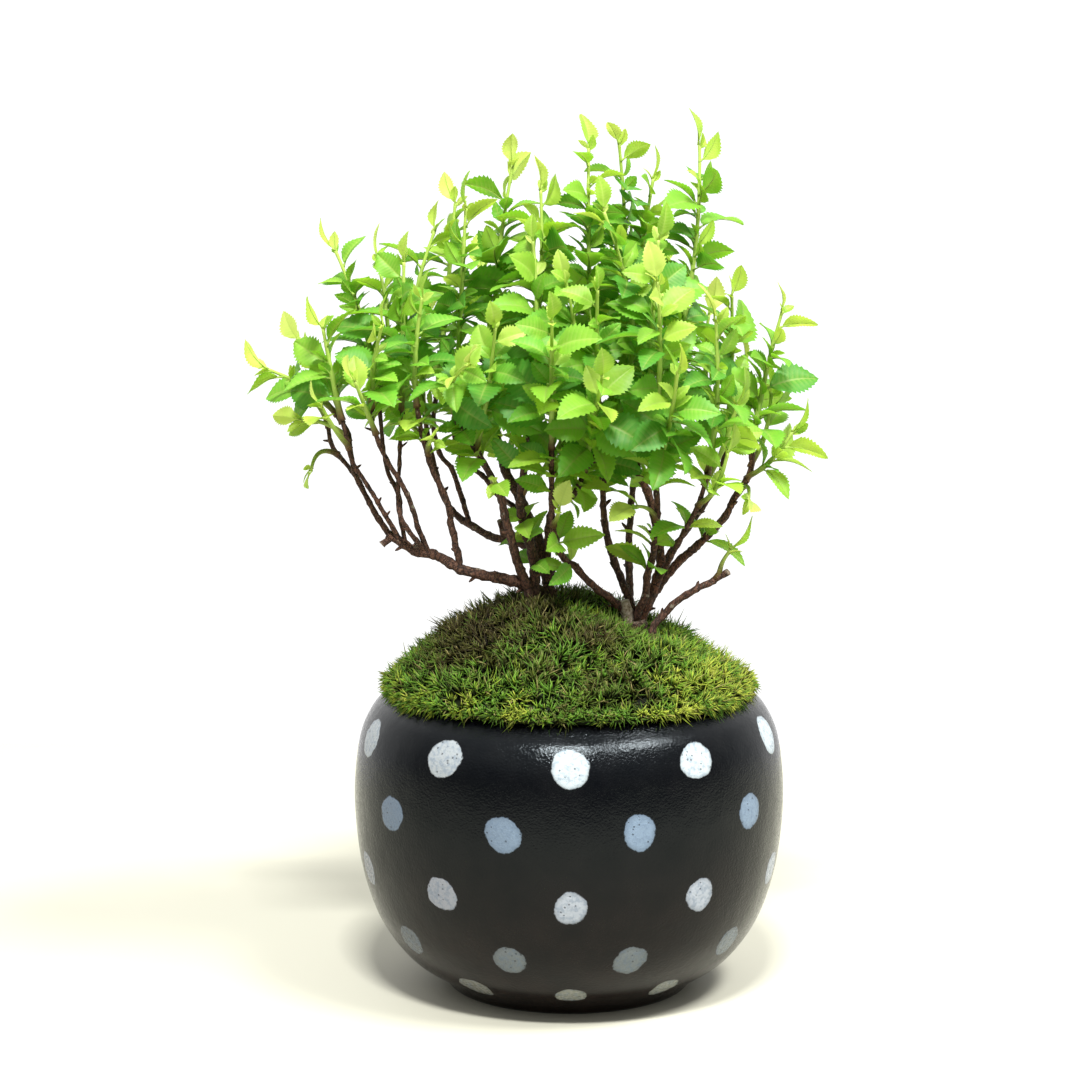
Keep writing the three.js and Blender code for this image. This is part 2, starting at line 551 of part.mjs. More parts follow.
// True when a point comes nearer to the blade than depth, or reach beyond its edge
function touches(leaf, point, depth, reach, fromShare) {
  const offset = point.clone().sub(leaf.foot);
  const share = offset.dot(leaf.forward) / leaf.length;
  if (share < fromShare || share > 1 + reach / leaf.length) {
    return false;
  }
  const inside = Math.min(share, 1);
  const lateral = offset.dot(leaf.lateral);
  if (Math.abs(lateral) > widthAt(inside) * leaf.halfWidth + reach) {
    return false;
  }
  const rise = leaf.length * (LEAF_ARCH * Math.sin(Math.PI * inside) - leaf.droop * inside * inside);
  const height = offset.dot(leaf.normal) - rise - LEAF_FOLD * Math.abs(lateral);
  return Math.abs(height) < depth;
}

function middleOf(leaf) {
  return leaf.foot.clone().addScaledVector(leaf.forward, 0.5 * leaf.length);
}

function leafFits(leaf, leaves, dots) {
  const middle = middleOf(leaf);
  const probes = probesOf(leaf);
  for (const dot of dots) {
    if (dot.point.distanceTo(middle) < NEAR_SHARE * leaf.length + dot.radius + STEM_ROOM) {
      const from = dot.owner === leaf.shoot ? OWN_STEM_FROM : OTHER_STEM_FROM;
      if (touches(leaf, dot.point, dot.radius + STEM_ROOM, dot.radius + EDGE_ROOM, from)) {
        return false;
      }
    }
  }
  for (const other of leaves) {
    if (other.middle.distanceTo(middle) < NEAR_SHARE * (leaf.length + other.length) + EDGE_ROOM) {
      const from = other.shoot === leaf.shoot ? OWN_LEAF_FROM : OTHER_LEAF_FROM;
      if (probes.some((probe) => touches(other, probe, FACE_ROOM, EDGE_ROOM, from))) {
        return false;
      }
      if (other.probes.some((probe) => touches(leaf, probe, FACE_ROOM, EDGE_ROOM, from))) {
        return false;
      }
    }
  }
  return true;
}

function leafRanks(stem) {
  const ranks = [];
  const room = lengthOf(stem) - BARE_FOOT;
  for (let rank = 0; backOf(rank) < room; rank += 1) {
    ranks.push(rank);
  }
  return ranks;
}

// Leaves are laid from the tips down, over all shoots at once, and one with no free place is left out
function growLeaves(stems, dots) {
  const leaves = [];
  const deepest = Math.max(...stems.map((stem) => leafRanks(stem).length));
  for (let rank = 0; rank < deepest; rank += 1) {
    stems.forEach((stem, shoot) => {
      if (rank >= leafRanks(stem).length) {
        return;
      }
      const tries = LEAF_TURNS.map((turn) => () => makeLeaf(shoot, rank, stem, turn));
      for (const attempt of tries) {
        const leaf = attempt();
        if (leafFits(leaf, leaves, dots)) {
          leaf.middle = middleOf(leaf);
          leaf.probes = probesOf(leaf);
          leaves.push(leaf);
          return;
        }
      }
    });
  }
  return leaves;
}

// Leafy shoots: their skins

// Teeth and notches along one edge, from the stem to the tip: [share of length, share of width]
const GROWN_EDGE = [[0.4, 1.06], [0.47, 0.84], [0.6, 1.08], [0.66, 0.82], [0.78, 1.14], [0.83, 0.78]];
const YOUNG_EDGE = [[0.44, 1.06], [0.52, 0.82], [0.72, 1.12], [0.78, 0.8]];

// A blade with a cut edge: one fan above its rib and one below. It grows out of the corners of its root,
// which lie in the skin of the stem
function addLeaf(leaf, root, corners, triangles) {
  const [topRight, topLeft, bottomLeft, bottomRight] = root;
  const edge = leaf.age > GROWN_EDGE_AGE ? GROWN_EDGE : YOUNG_EDGE;
  const right = edge.map(([share, side]) => bladePoint(leaf, share, side));
  const left = edge.map(([share, side]) => bladePoint(leaf, share, -side)).reverse();
  const rib = bladePoint(leaf, 0.5, 0);
  const above = rib.clone().addScaledVector(leaf.normal, RIB_HALF);
  const below = rib.clone().addScaledVector(leaf.normal, -RIB_HALF);
  const first = corners.length;
  corners.push(...right, bladePoint(leaf, 1, 0), ...left, above, below);
  const last = first + 2 * edge.length;
  const top = last + 1;
  const bottom = last + 2;
  triangles.push([top, topRight, topLeft], [top, first, topRight], [top, topLeft, last]);
  triangles.push([bottom, bottomRight, first], [bottom, last, bottomLeft]);
  triangles.push([topRight, first, bottomRight], [last, topLeft, bottomLeft]);
  if (bottomLeft !== bottomRight) {
    triangles.push([bottom, bottomLeft, bottomRight]);
  }
  for (let i = first; i < last; i += 1) {
    triangles.push([top, i + 1, i], [bottom, i, i + 1]);
  }
}

// Azimuth round the stem of a direction
function azimuthOf(tangent, direction) {
  const [first, second] = across(tangent);
  return Math.atan2(direction.dot(second), direction.dot(first)) / DEGREE;
}

// A leafy shoot as one closed skin. The stem has three corners, and the side between its corners 0 and 1
// turns to each leaf, where a ring below and a ring above leave the place that the leaf grows out of
function shootSolid(stem, leaves) {
  const total = lengthOf(stem);
  const corners = [];
  const triangles = [];
  const addRing = (distance, azimuth) => {
    const { point, tangent } = along(stem, distance);
    const radius = SKIN_SCALE * mix(SHOOT_FOOT_RADIUS, SHOOT_TIP_RADIUS, distance / total);
    const [first, second] = across(tangent);
    const places = [-60, 60, 180].map((turn) => {
      const angle = (azimuth + turn) * DEGREE;
      corners.push(point.clone().addScaledVector(first, radius * Math.cos(angle))
        .addScaledVector(second, radius * Math.sin(angle)));
      return corners.length - 1;
    });
    return { places, azimuth };
  };
  const joinSide = (low, high, side, shift) => {
    const next = (side + 1) % 3;
    const [a, b] = [low.places[side], low.places[next]];
    const [c, d] = [high.places[(next + shift) % 3], high.places[(side + shift) % 3]];
    triangles.push([a, b, c], [a, c, d]);
  };
  const joinRings = (low, high) => {
    const shift = ((Math.round((low.azimuth - high.azimuth) / 120) % 3) + 3) % 3;
    [0, 1, 2].forEach((side) => joinSide(low, high, side, shift));
  };

  const sideLeaves = leaves.filter((leaf) => leaf.rank > 0).sort((a, b) => b.rank - a.rank);
  let ring = addRing(0, sideLeaves.length ? sideLeaves[0].azimuth : 0);
  triangles.push([ring.places[0], ring.places[2], ring.places[1]]);
  for (const leaf of sideLeaves) {
    const place = total - backOf(leaf.rank);
    const low = addRing(place - NODE_HALF, leaf.azimuth);
    const high = addRing(place + NODE_HALF, leaf.azimuth);
    joinRings(ring, low);
    joinSide(low, high, 1, 0);
    joinSide(low, high, 2, 0);
    const root = [high.places[1], high.places[0], low.places[0], low.places[1]];
    const turned = leaf.normal.dot(leaf.tangent) < 0;
    addLeaf(leaf, turned ? [root[2], root[3], root[0], root[1]] : root, corners, triangles);
    ring = high;
  }
  const endLeaf = leaves.find((leaf) => leaf.rank === 0);
  const end = addRing(total, endLeaf ? azimuthOf(endLeaf.tangent, endLeaf.normal) : ring.azimuth);
  joinRings(ring, end);
  if (endLeaf) {
    addLeaf(endLeaf, [end.places[0], end.places[1], end.places[2], end.places[2]], corners, triangles);
  } else {
    triangles.push(end.places);
  }
  return solidOf(closedSurface(corners, triangles));
}

// The part

const bark = () => new THREE.MeshStandardMaterial({ color: 0x3b2a22, roughness: 0.85, metalness: 0 });
const green = () => new THREE.MeshStandardMaterial({ color: 0x7fb52b, roughness: 0.55, metalness: 0 });
const clay = new THREE.MeshStandardMaterial({ color: 0x1d1c1f, roughness: 0.45, metalness: 0 });
const earth = new THREE.MeshStandardMaterial({ color: 0x3a2b1e, roughness: 0.95, metalness: 0 });
const mossGreen = new THREE.MeshStandardMaterial({ color: 0x5c7f1f, roughness: 0.9, metalness: 0 });

const bonsai = new THREE.Group();

const holeCutter = wasm.Manifold.union(Object.values(HOLES).map(holeSolid));
bonsai.add(pieceOf('pot', potSolid(), clay));
bonsai.add(pieceOf('soil', soilSolid().subtract(holeCutter), earth));
bonsai.add(pieceOf('moss', mossSolid().subtract(holeCutter), mossGreen));
for (const [name, stems] of Object.entries(WOOD)) {
  bonsai.add(pieceOf(name, woodSolid(stems), bark()));
}

const rows = [...SHOOTS, SIDE_SHOOT];
const { stems, dots } = growStems(rows);
const leaves = growLeaves(stems, dots);
stems.forEach((stem, shoot) => {
  const solid = shootSolid(stem, leaves.filter((leaf) => leaf.shoot === shoot));
  bonsai.add(pieceOf(`shoot_${String(shoot + 1).padStart(2, '0')}`, solid, green()));
});

const middle = new THREE.Box3().setFromObject(bonsai).getCenter(new THREE.Vector3());
bonsai.position.set(-middle.x, -middle.y, 0);

export default bonsai;
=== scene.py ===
import math

import bpy
import numpy as np
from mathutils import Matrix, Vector


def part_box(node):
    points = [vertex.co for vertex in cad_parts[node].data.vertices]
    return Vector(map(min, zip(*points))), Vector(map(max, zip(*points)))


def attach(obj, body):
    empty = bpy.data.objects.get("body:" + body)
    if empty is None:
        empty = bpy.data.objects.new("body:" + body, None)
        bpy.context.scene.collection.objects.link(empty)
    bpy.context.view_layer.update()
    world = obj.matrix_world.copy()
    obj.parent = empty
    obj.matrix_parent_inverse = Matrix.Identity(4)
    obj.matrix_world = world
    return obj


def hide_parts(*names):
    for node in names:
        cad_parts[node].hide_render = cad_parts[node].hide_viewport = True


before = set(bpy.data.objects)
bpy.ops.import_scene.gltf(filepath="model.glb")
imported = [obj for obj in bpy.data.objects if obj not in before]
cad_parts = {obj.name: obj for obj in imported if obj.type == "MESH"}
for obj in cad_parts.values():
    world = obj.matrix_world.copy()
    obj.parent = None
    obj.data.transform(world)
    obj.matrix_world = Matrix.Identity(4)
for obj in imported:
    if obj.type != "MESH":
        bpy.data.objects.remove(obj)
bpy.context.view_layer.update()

MM = 0.001
DEGREE = math.pi / 180
UP = np.array((0.0, 0.0, 1.0))
SIDEWAYS = np.array((1.0, 0.0, 0.0))
BACKWARDS = np.array((0.0, 1.0, 0.0))
pot_low, pot_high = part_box("pot")
AXIS = Vector(((pot_low.x + pot_high.x) / 2, (pot_low.y + pot_high.y) / 2, 0.0))

# Camera, light and floor
CAMERA_PLACE = (-8.1, -960.0, 291.2)
CAMERA_DOWN = 9.77  # degrees below the horizon
CAMERA_VIEW = 17.46  # degrees across the picture
FLOOR_FRONT = -900.0
FLOOR_BACK = 294.0
FLOOR_SIDE = 1400.0
# Soft lamps: name, place, width and height, power in watts
LAMPS = [
    ("front_lamp", (-20, -800, 1330), (280, 120), 33.0),
    ("right_lamp", (670, -420, 1330), (520, 260), 28.0),
]
LAMP_AIM = (0, 0, 110)
# White room: its brightness on the side of the camera, and how it rises: axis, from, to, brightness there
ROOM_FRONT = 0.16
ROOM_RISES = [("Y", -0.35, 0.75, 1.15), ("Z", 0.0, 1.0, 1.1)]

# Pot
POT_HEIGHT = 84.0
FLOOR_TOP = 7.0
FOOT_RECESS = 2.0
FOOT_INNER_RADIUS = 30.0
FOOT_EDGE = 0.4  # how far the inner edges of the foot are rounded
OUTER_EDGE = (0.6, 0.5)  # the same for its outer edge, across and up
DRAIN_RADIUS = 6.0
POT_OUTSIDE = [
    (34, 0), (36.5, 3.2), (45.6, 9.5), (53.1, 19.7), (57.5, 32), (59.6, 45), (60, 58),
    (58.4, 71), (55.2, 78.4), (51.8, 82), (49.3, POT_HEIGHT),
]
POT_LIP = (47.6, 83.9)
POT_INSIDE = [(46.6, 82.6), (53.4, 66), (54.4, 46), (48.5, 21), (37, FLOOR_TOP)]
POT_SIDES = 144
POT_STEP = 1.6
THROWN_WAVE = 0.12  # how far the thrown wall strays from round
DOTS_PER_ROW = 10
HALF_TURN = 180 / DOTS_PER_ROW  # degrees from a dot to half way to the next
# Rows of painted dots: height, diameter, turn in degrees from the front, colour. The colours are the glaze's
# own grey and blue with painted shade: the rows below the top one are darker
DOT_ROWS = [
    (74.3, 10.6, 0.4, (0.38, 0.43, 0.45)),
    (56.8, 9.6, HALF_TURN, (0.16, 0.215, 0.285)),
    (37.7, 9.4, 0.4, (0.34, 0.37, 0.42)),
    (20.2, 9.4, HALF_TURN, (0.155, 0.175, 0.19)),
    (8.2, 9.2, 0.4, (0.23, 0.235, 0.21)),
]
LEFT_SHADE_SHARE = (0.73, 0.70, 0.70)  # painted shade: the dots are darker towards the left side, away from the light
THIN_EDGE = 0.72  # how much of the paint is left at the edge of a dot
DOT_STRAY = 3.0  # the range over which painted dots are off their places

# Moss
NECK_RADIUS = 46.6
SOIL_MOUND = 17.0
TOUCH_GAP = 0.3
MOSS_RADIUS = 49.8
MOSS_RISE = 25.0
MOSS_EDGE = 3.2
MOSS_TILT = 2.5
DOME_POWER = 2.1
TILT_POWER = 6
# How deep the base of the needles lies under the face of the cushion, and between which radii that changes
MOSS_DEPTH = (3.0, 5.2)
DEPTH_CHANGE = (18.0, 38.0)
HOLLOW = (17.0, -4.0, 112.5)  # place and spread of the hollow round the stump
HOLLOW_DEPTH = 6.0
LUMPS = [(0.98, 9.0, 3), (0.49, 4.5, 4)]  # clumps of the cushion: height, size, seed
MOSS_SIDES = 120
MOSS_RINGS = 44
UNDERSIDE_RADII = (2.0, 12.0, 24.0, 36.0, NECK_RADIUS - TOUCH_GAP)
RIM_INSET = 0.6  # how far inside the edge of the cushion its outermost ring runs
TUFT_REACH = 49.2  # radius up to which tufts grow
TUFTS = 1560
EDGE_TUFTS = 260
NEEDLES_PER_TUFT = 16
NEEDLE_CORNERS = 7
NEEDLE_LENGTH = (4.6, 7.8)
NEEDLE_HALF_WIDTH = 0.26
NEEDLE_SPREAD = (50, 6)  # degrees off the axis of its tuft, for the lowest and the highest needle
NEEDLE_LIFT = 2.0  # how far up its tuft the highest needle grows
STRAW_CHANCE = 0.05
MOST_DROP = 3.0  # how far needles hang over the rim at the most
SHOULDER_SLOPE = 1.25  # how fast the shoulder of the pot goes out below the rim
MOSS_PIECES = 3
BED_SEED = 11
TUFT_SEED = 23
# Colour of the moss, from 0, dead and dark, to 1, yellow green: its level, and spots of x, y, spread, change
MOSS_TONE = 0.44
MOSS_SPOTS = [(-18, -36, 300, 0.20), (-22, -12, 330, -0.40), (4, -26, 90, -0.28)]

# Old wood
BARK_STEP = 0.8
BARK_SIDES = 12
WOOD_SEED = 100
SEEDS_PER_STEM = 10
# Radius of the bark as a share of the table's, for a stem with a thin foot and for a thick one
THIN_FOOT = 1.45
THIN_SHARE = 0.86
THICK_SHARE = 0.95
BARK_WANDER = (0.12, 6.0)  # how far the line of a stem strays, and over what length
BARK_ROUGH = [(0.13, 1.6), (0.08, 0.7)]  # share of the radius, size of the bumps
KNOTS = 60  # more than the longest stem has
KNOT_GAP = (3.5, 7.0)
KNOT_LENGTH = 0.7
KNOT_SWELL = 0.16
BUD_CHANCE = 0.6
BUD_SIDES = 6
BUD_RADIUS = 0.62  # at the most, and as a share of the stem's
BUD_LENGTH = (0.3, 2.2)  # how far every bud stands out, and how much more the longest spur does
BUD_FORM = np.array([(0.0, 1.1), (0.4, 0.9), (0.8, 0.65), (1.0, 0.25)])  # share of its length, of its radius
# The foot of some stems is wider: by what share, at which height and below it, and over what height it fades
FLARED_STEMS = {"trunk", "stump"}
FLARE = 0.35
FLARE_HEIGHT = 103
FLARE_FADE = 4
FLARE_END = 112
CUT_STEMS = {"low_knob", "cut_stub", "rear_stub", "cut_knob", "stump", "stem"}
CUT_MIDDLE = 0.8  # how bare the wood of a cut is in its middle and at its rim
CUT_RIM = 0.35
PALE_STEMS = {"cut_knob": 0.95}  # weathered to pale grey
RED_STEMS = {"red_stem": 1.0, "right_stem": 0.7, "low_left": 0.6, "front_stem": 0.4, "right_rear": 0.5}
USUAL_RED = 0.35


def stem(foot_radius, end_radius, *points):
    """A stem of old wood: radius at its foot and at its end, points from foot to end."""
    return foot_radius, end_radius, np.array(points, float)


# The stems of each piece of old wood
WOOD = {
    "wood_left": {
        "trunk": stem(2.6, 1.0, (-6, 0, 80), (-5.5, 0, 100), (-5.5, 0, 110), (-6, 0, 117), (-8, 0, 124),
            (-11.5, 2, 132), (-14, 4, 138), (-18, 8, 145), (-20, 10, 153), (-21, 11, 161)),
        "front_trunk": stem(1.9, 0.8, (-7, -1, 95), (-9.5, -3, 110), (-9.5, -4, 119), (-11, -6, 126),
            (-13.5, -8, 136), (-12, -10, 150), (-10, -11, 163)),
        "leaning": stem(1.5, 0.8, (-8.5, -2.5, 106), (-13.5, -6, 118.5), (-16, -8, 127.5), (-18, -9, 135),
            (-19, -10, 140), (-25, -12, 152), (-30.5, -14, 161)),
        "low_branch": stem(1.8, 1.2, (-5.5, 0, 110), (-13.5, -4, 114.5), (-21, -6, 116.5), (-29.5, -8, 119),
            (-37, -8, 123), (-42, -8, 124), (-46, -8, 126.5), (-50, -8, 129)),
        "low_end": stem(1.0, 0.7, (-49, -8, 128), (-54.5, -6, 136.5), (-58.5, -4, 144), (-60, -2, 149),
            (-61, 0, 156), (-64.5, 2, 161)),
        "low_fork": stem(0.8, 0.7, (-58.5, -4, 144), (-62, 1, 147.5), (-65.5, 5, 151), (-67, 8, 157)),
        "outer_twig": stem(0.8, 0.6, (-46, -8, 126.5), (-48.5, -10, 131), (-51, -12, 136), (-55, -13, 143),
            (-59, -14, 150), (-62, -14, 162)),
        "rear_twig": stem(0.8, 0.6, (-45, -7.5, 126), (-46.5, -5, 133.5), (-47, -3, 139), (-50.5, 1, 146),
            (-52, 4, 157), (-53, 6, 168)),
        "mid_twig": stem(0.8, 0.6, (-39.5, -8, 124), (-43.5, -12, 130), (-46.5, -13.5, 136),
            (-46.5, -10, 150), (-46, -8, 163)),
        "front_twig": stem(0.9, 0.7, (-38.5, -8, 123.5), (-41.5, -10.5, 131), (-43, -14, 137.5),
            (-45.5, -17, 144), (-49.5, -19, 151), (-53, -20, 160), (-53.5, -21, 166)),
        "upright": stem(1.2, 0.7, (-30, -8, 119), (-31, -9, 125), (-32.5, -10, 132), (-33.5, -12, 139),
            (-37.5, -14, 148), (-40.5, -16, 160), (-41.5, -17, 166)),
        "rear_branch": stem(1.4, 0.8, (-6, 0, 118), (-11, 6, 122.5), (-17, 10, 124), (-22, 14, 124.5),
            (-26.5, 18, 126.5), (-31, 22, 128.5), (-35, 24, 133.5), (-39, 27, 146), (-41, 29, 158)),
        "rear_upright": stem(0.9, 0.7, (-28, 19.5, 127.2), (-31, 20, 137), (-33, 19, 143), (-36.5, 18, 148),
            (-38, 17, 156), (-37, 17, 164)),
        "rear_stub": stem(0.9, 0.8, (-18, 10.7, 124), (-19.5, 8.5, 130)),
        "inner_twig": stem(0.9, 0.7, (-11.5, 2, 132), (-20, 5, 138), (-24, 6.5, 143), (-28, 7, 146),
            (-31.5, 7, 151.5), (-32, 7, 158), (-31.5, 6, 165)),
        "crossing": stem(1.2, 0.7, (-5.8, 0, 116), (-6, -3, 129), (-3.5, -5, 137.5), (1, -7, 139.5),
            (4.5, -8, 147), (7, -9, 150), (8.5, -11, 156), (8, -13, 162)),
        "low_knob": stem(1.5, 1.3, (-41, -8, 123.8), (-42, -8.5, 126.2)),
        "cut_stub": stem(1.2, 1.1, (-49, -8, 128), (-51.5, -8.5, 126)),
    },
    "wood_right": {
        "stump": stem(3.4, 3.0, (17.5, 1, 80), (17.5, 1, 103)),
        "low_left": stem(1.3, 0.8, (16.5, 0, 105), (11, -4, 110.5), (8, -6, 113), (4.5, -8, 116.5),
            (1.5, -9, 120), (-2, -10, 123), (-4.5, -13, 131), (-5, -17, 143), (-5, -21, 155)),
        "upright": stem(1.4, 0.8, (17.5, 2, 101), (17, 3, 107.5), (15, 4, 113), (12.5, 4, 119.5),
            (10.5, 4, 126.5), (9.5, 4, 133.5), (9.5, 4, 144), (9, 3, 153), (8, 2, 160)),
        "front_stem": stem(1.3, 0.8, (18.5, 0, 101), (19, -2, 105.5), (21, -4, 111), (21.5, -6, 117),
            (23, -8, 123.5), (24, -10, 135), (23, -12.5, 149), (22, -14, 162)),
        "red_stem": stem(1.6, 0.9, (19, 1, 101), (21.5, 1, 107.5), (24, 1, 113.5), (25.5, 1, 119),
            (25, 1, 124), (23.5, 2, 133), (22, 4, 138), (19, 6, 145), (18, 8, 153), (17.5, 10, 160)),
        "right_stem": stem(1.5, 0.8, (19, 2, 101), (22.5, 4, 108), (26, 4, 113.5), (30.5, 4, 119),
            (35, 4, 123), (38.5, 4, 126.5), (43.5, 4, 132), (46, 4, 137), (50, 4, 144), (50.5, 4, 150)),
        "right_rear": stem(1.0, 0.7, (23.5, 4, 109.6), (26.5, 8, 117.5), (29.5, 10, 122.5), (33, 12, 126.5),
            (39, 16, 134.5), (41.5, 18, 138), (44, 20, 147), (45, 22, 157)),
        "right_front": stem(1.0, 0.7, (24, 1, 113.5), (27, -4, 120), (31, -10, 129), (35, -14, 138),
            (37.5, -17, 148)),
        "rear_stem": stem(1.4, 0.8, (17.5, 2, 101), (17, 9, 111), (17, 16, 122), (18, 23, 135), (20, 29, 147),
            (21, 32, 158)),
        "cut_knob": stem(1.9, 1.6, (17, -0.5, 101), (15.2, -1.8, 109)),
    },
    "wood_side": {
        "stem": stem(1.3, 1.0, (22.5, -9, 82), (22.5, -8.7, 97), (23.2, -8.2, 103), (26, -8, 106.3),
            (29.5, -8.5, 110), (35, -9.5, 114), (39, -10, 116), (43.5, -11, 119)),
    },
}

# Green shoots by the stem that they grow from: how far along it, and the tip of the shoot
SHOOTS = {
    "wood_left": {
        "low_end": [(1, -89, -4, 178), (0.93, -78, 6, 187), (0.78, -80, -9, 163)],
        "low_fork": [(1, -77, 15, 171), (0.55, -75, -8, 142)],
        "outer_twig": [(1, -68, -17, 194), (0.8, -70, -26, 172)],
        "rear_twig": [(1, -67, 14, 212), (0.9, -53, 7, 211)],
        "mid_twig": [(1, -45, -4, 211)],
        "front_twig": [(1, -49, -30, 196), (0.85, -59, -38, 180)],
        "upright": [(1, -39, -24, 203), (0.72, -35, -32, 160)],
        "rear_branch": [(1, -41, 38, 189), (0.88, -57, 34, 178)],
        "rear_upright": [(1, -31, 22, 225), (0.8, -37, 12, 218)],
        "inner_twig": [(1, -28, 4, 225)],
        "leaning": [(1, -26, -44, 184), (0.84, -19, -32, 195), (0.66, -19, -28, 145)],
        "trunk": [(1, -15, 16, 236), (0.92, -25, 38, 204), (0.82, -7, 1, 230)],
        "front_trunk": [(1, -10, -7, 217), (0.68, 0, -16, 207)],
        "crossing": [(1, 7, -30, 205), (0.66, 9, -49, 182)],
    },
    "wood_right": {
        "low_left": [(1, -5, -46, 198), (0.62, -2, -24, 142)],
        "upright": [(1, 5, 10, 241), (0.93, 9, -12, 225), (0.8, 14, 15, 242), (0.66, -7, 44, 209)],
        "front_stem": [(1, 24, -16, 218), (0.93, 23, -40, 208), (0.76, 29, -45, 183), (0.55, 13, -20, 140)],
        "red_stem": [(1, 24, 19, 232), (0.86, 37, 6, 242)],
        "rear_stem": [(1, 9, 46, 215), (0.9, 28, 40, 208)],
        "right_stem": [(1, 60, 2, 197), (0.94, 58, 11, 173), (0.88, 66, -5, 162), (0.8, 50, -13, 136)],
        "right_front": [(1, 39, -27, 197), (0.9, 48, -16, 173), (0.75, 45, -28, 160)],
        "right_rear": [(1, 45, 9, 200), (0.92, 39, 37, 192), (0.84, 51, 31, 177)],
    },
    "wood_side": {
        "stem": [(0.93, 47, -11, 130)],
    },
}
WOOD_OWNER = -1  # stands for the old wood where a shoot has its number
MIDDLE_X = 3  # between the left clump of wood and the right one

# Growth of the shoots, as in the solids
SHOOT_FOOT_RADIUS = 0.8
SHOOT_TIP_RADIUS = 0.5
SHOOT_STEP = 6.0
SHOOT_BOW = 0.45
START_TURN = 0.35
END_LEAF_REACH = 7.65
LEAST_STEM = 0.5
SHOOT_ROOM = 0.6
FOOT_DOTS = 3  # dots of a shoot that are near the wood in any case
DOT_STEP = 1.5
BENDS = (4, 8, 12)
BEND_TURNS = 8

# Growth of the leaves, as in the solids, from the young ones at the tip to the full grown ones
LEAF_SPACING = 5.7
TIP_SPACING = 0.8
TIP_RANKS = 3
SPIRAL = 137.5
BARE_FOOT = 5.0
FULL_AGE = 18.0
LEAF_LENGTH = (9.5, 15.0)
LENGTH_SPREAD = 0.22
LEAF_WIDTH = (0.58, 0.62)
WIDTH_SPREAD = 0.07
LEAF_ANGLE = (44.0, 72.0)
ANGLE_SPREAD = 16.0
END_LEAF_ANGLE = 28.0
AZIMUTH_SPREAD = 15.0
ROLL_SPREAD = 40.0
LEAF_DROOP = (0.05, 0.2)
DROOP_SPREAD = 0.08
LIGHT_FROM_ABOVE = 0.6
LIGHT_FROM_OUTSIDE = 0.75
LIGHT_ALONG_STEM = 0.2
STALK_WIDTH = 0.08
BLADE_LEAN = 0.86
BLADE_FULLNESS = 0.85
LEAF_ARCH = 0.07
LEAF_FOLD = 0.22
PETIOLE = 0.13
FACE_ROOM = 1.35
EDGE_ROOM = 0.8
STEM_ROOM = 1.0
NEAR_SHARE = 0.6
OWN_STEM_FROM = 0.3
OTHER_STEM_FROM = 0.02
OWN_LEAF_FROM = 0.25
OTHER_LEAF_FROM = 0.05
CROWN_AXIS = (-10.0, 0.0)
SEED = 41
LEAF_TURNS = (0, 25, -25, 50, -50, 80, -80, 120, -120)
PROBE_SHARES = (0.25, 0.4, 0.55, 0.7, 0.85, 1)
PROBE_SIDES = (-1, -0.5, 0, 0.5, 1)

# Fine shapes of shoots and leaves
STEM_SIDES = 7
STEM_STEP = 0.9
STEM_RADIUS = (0.80, 0.38)  # from foot to tip
STEM_RIPENESS = (0.75, 0.05)
STEM_SINK = 0.8  # how deep the foot of a stem sits in the wood
COLLAR = (0.25, 1.6)  # how far the foot of a stem is wider, and over what length
NODE_SWELL = (0.10, 0.9)  # the same at a leaf, as a share of the radius
WOODY_LENGTH = 5.0
STEM_RIDGES = 5
RIDGE_DEPTH = 0.07
GROWN_TEETH = 8
YOUNG_TEETH = 6
SMALL_TEETH = 4
TOOTH_START = 0.33
TOOTH_END = 0.95
TOOTH_DEPTH = 0.115
TOOTH_LEAN = 0.78  # how far along its span a tooth has its point
VEIN_SLANT = 1.35  # how much the side veins slant forwards
QUILT = 0.016  # how far the blade rises between its veins, as a share of its length
RIB_GROOVE = (0.3, 0.12)  # depth of the groove over the rib as a share of the quilt, and its width
RIPPLED_EDGE = 0.016  # how far the edge waves up and down, as a share of the length
RIPPLES = (9, 2)  # waves along the edge and across the blade, in radians
RIPPLE_TURN = 6.28  # how far the waves of one leaf are shifted at the most, in radians
PALE_RIB = (0.85, 0.11)  # how pale the rib is, and how wide
PALE_VEIN = 0.55
BLADE_ROWS = (0, 0.1, 0.4, 0.72, 1)
SMALL_ROWS = (0, 0.12, 0.6, 1)
GROWN_LENGTH = 9.0  # a longer leaf has more teeth
SMALL_LENGTH = 7.0  # a shorter leaf has a simpler blade
# The rib and its stalk: share of the leaf's length, radius
RIB = np.array([(0.0, 0.44), (0.08, 0.34), (0.16, 0.25), (0.34, 0.14), (0.55, 0.09), (0.76, 0.06),
                (0.92, 0.03)])

# Leaves that only the fine shape has: between the others, in their axils, round the tips, on the old wood
MORE_ROOM = 0.42  # rooms of these leaves as a share of the others' rooms
MOST_LEAVES = 5000
BETWEEN_SIZE = (0.72, 1.0)
BETWEEN_RANK = 2
BETWEEN_TURNS = (180, 150, -150, 120, -120, 90, -90, 60, -60)
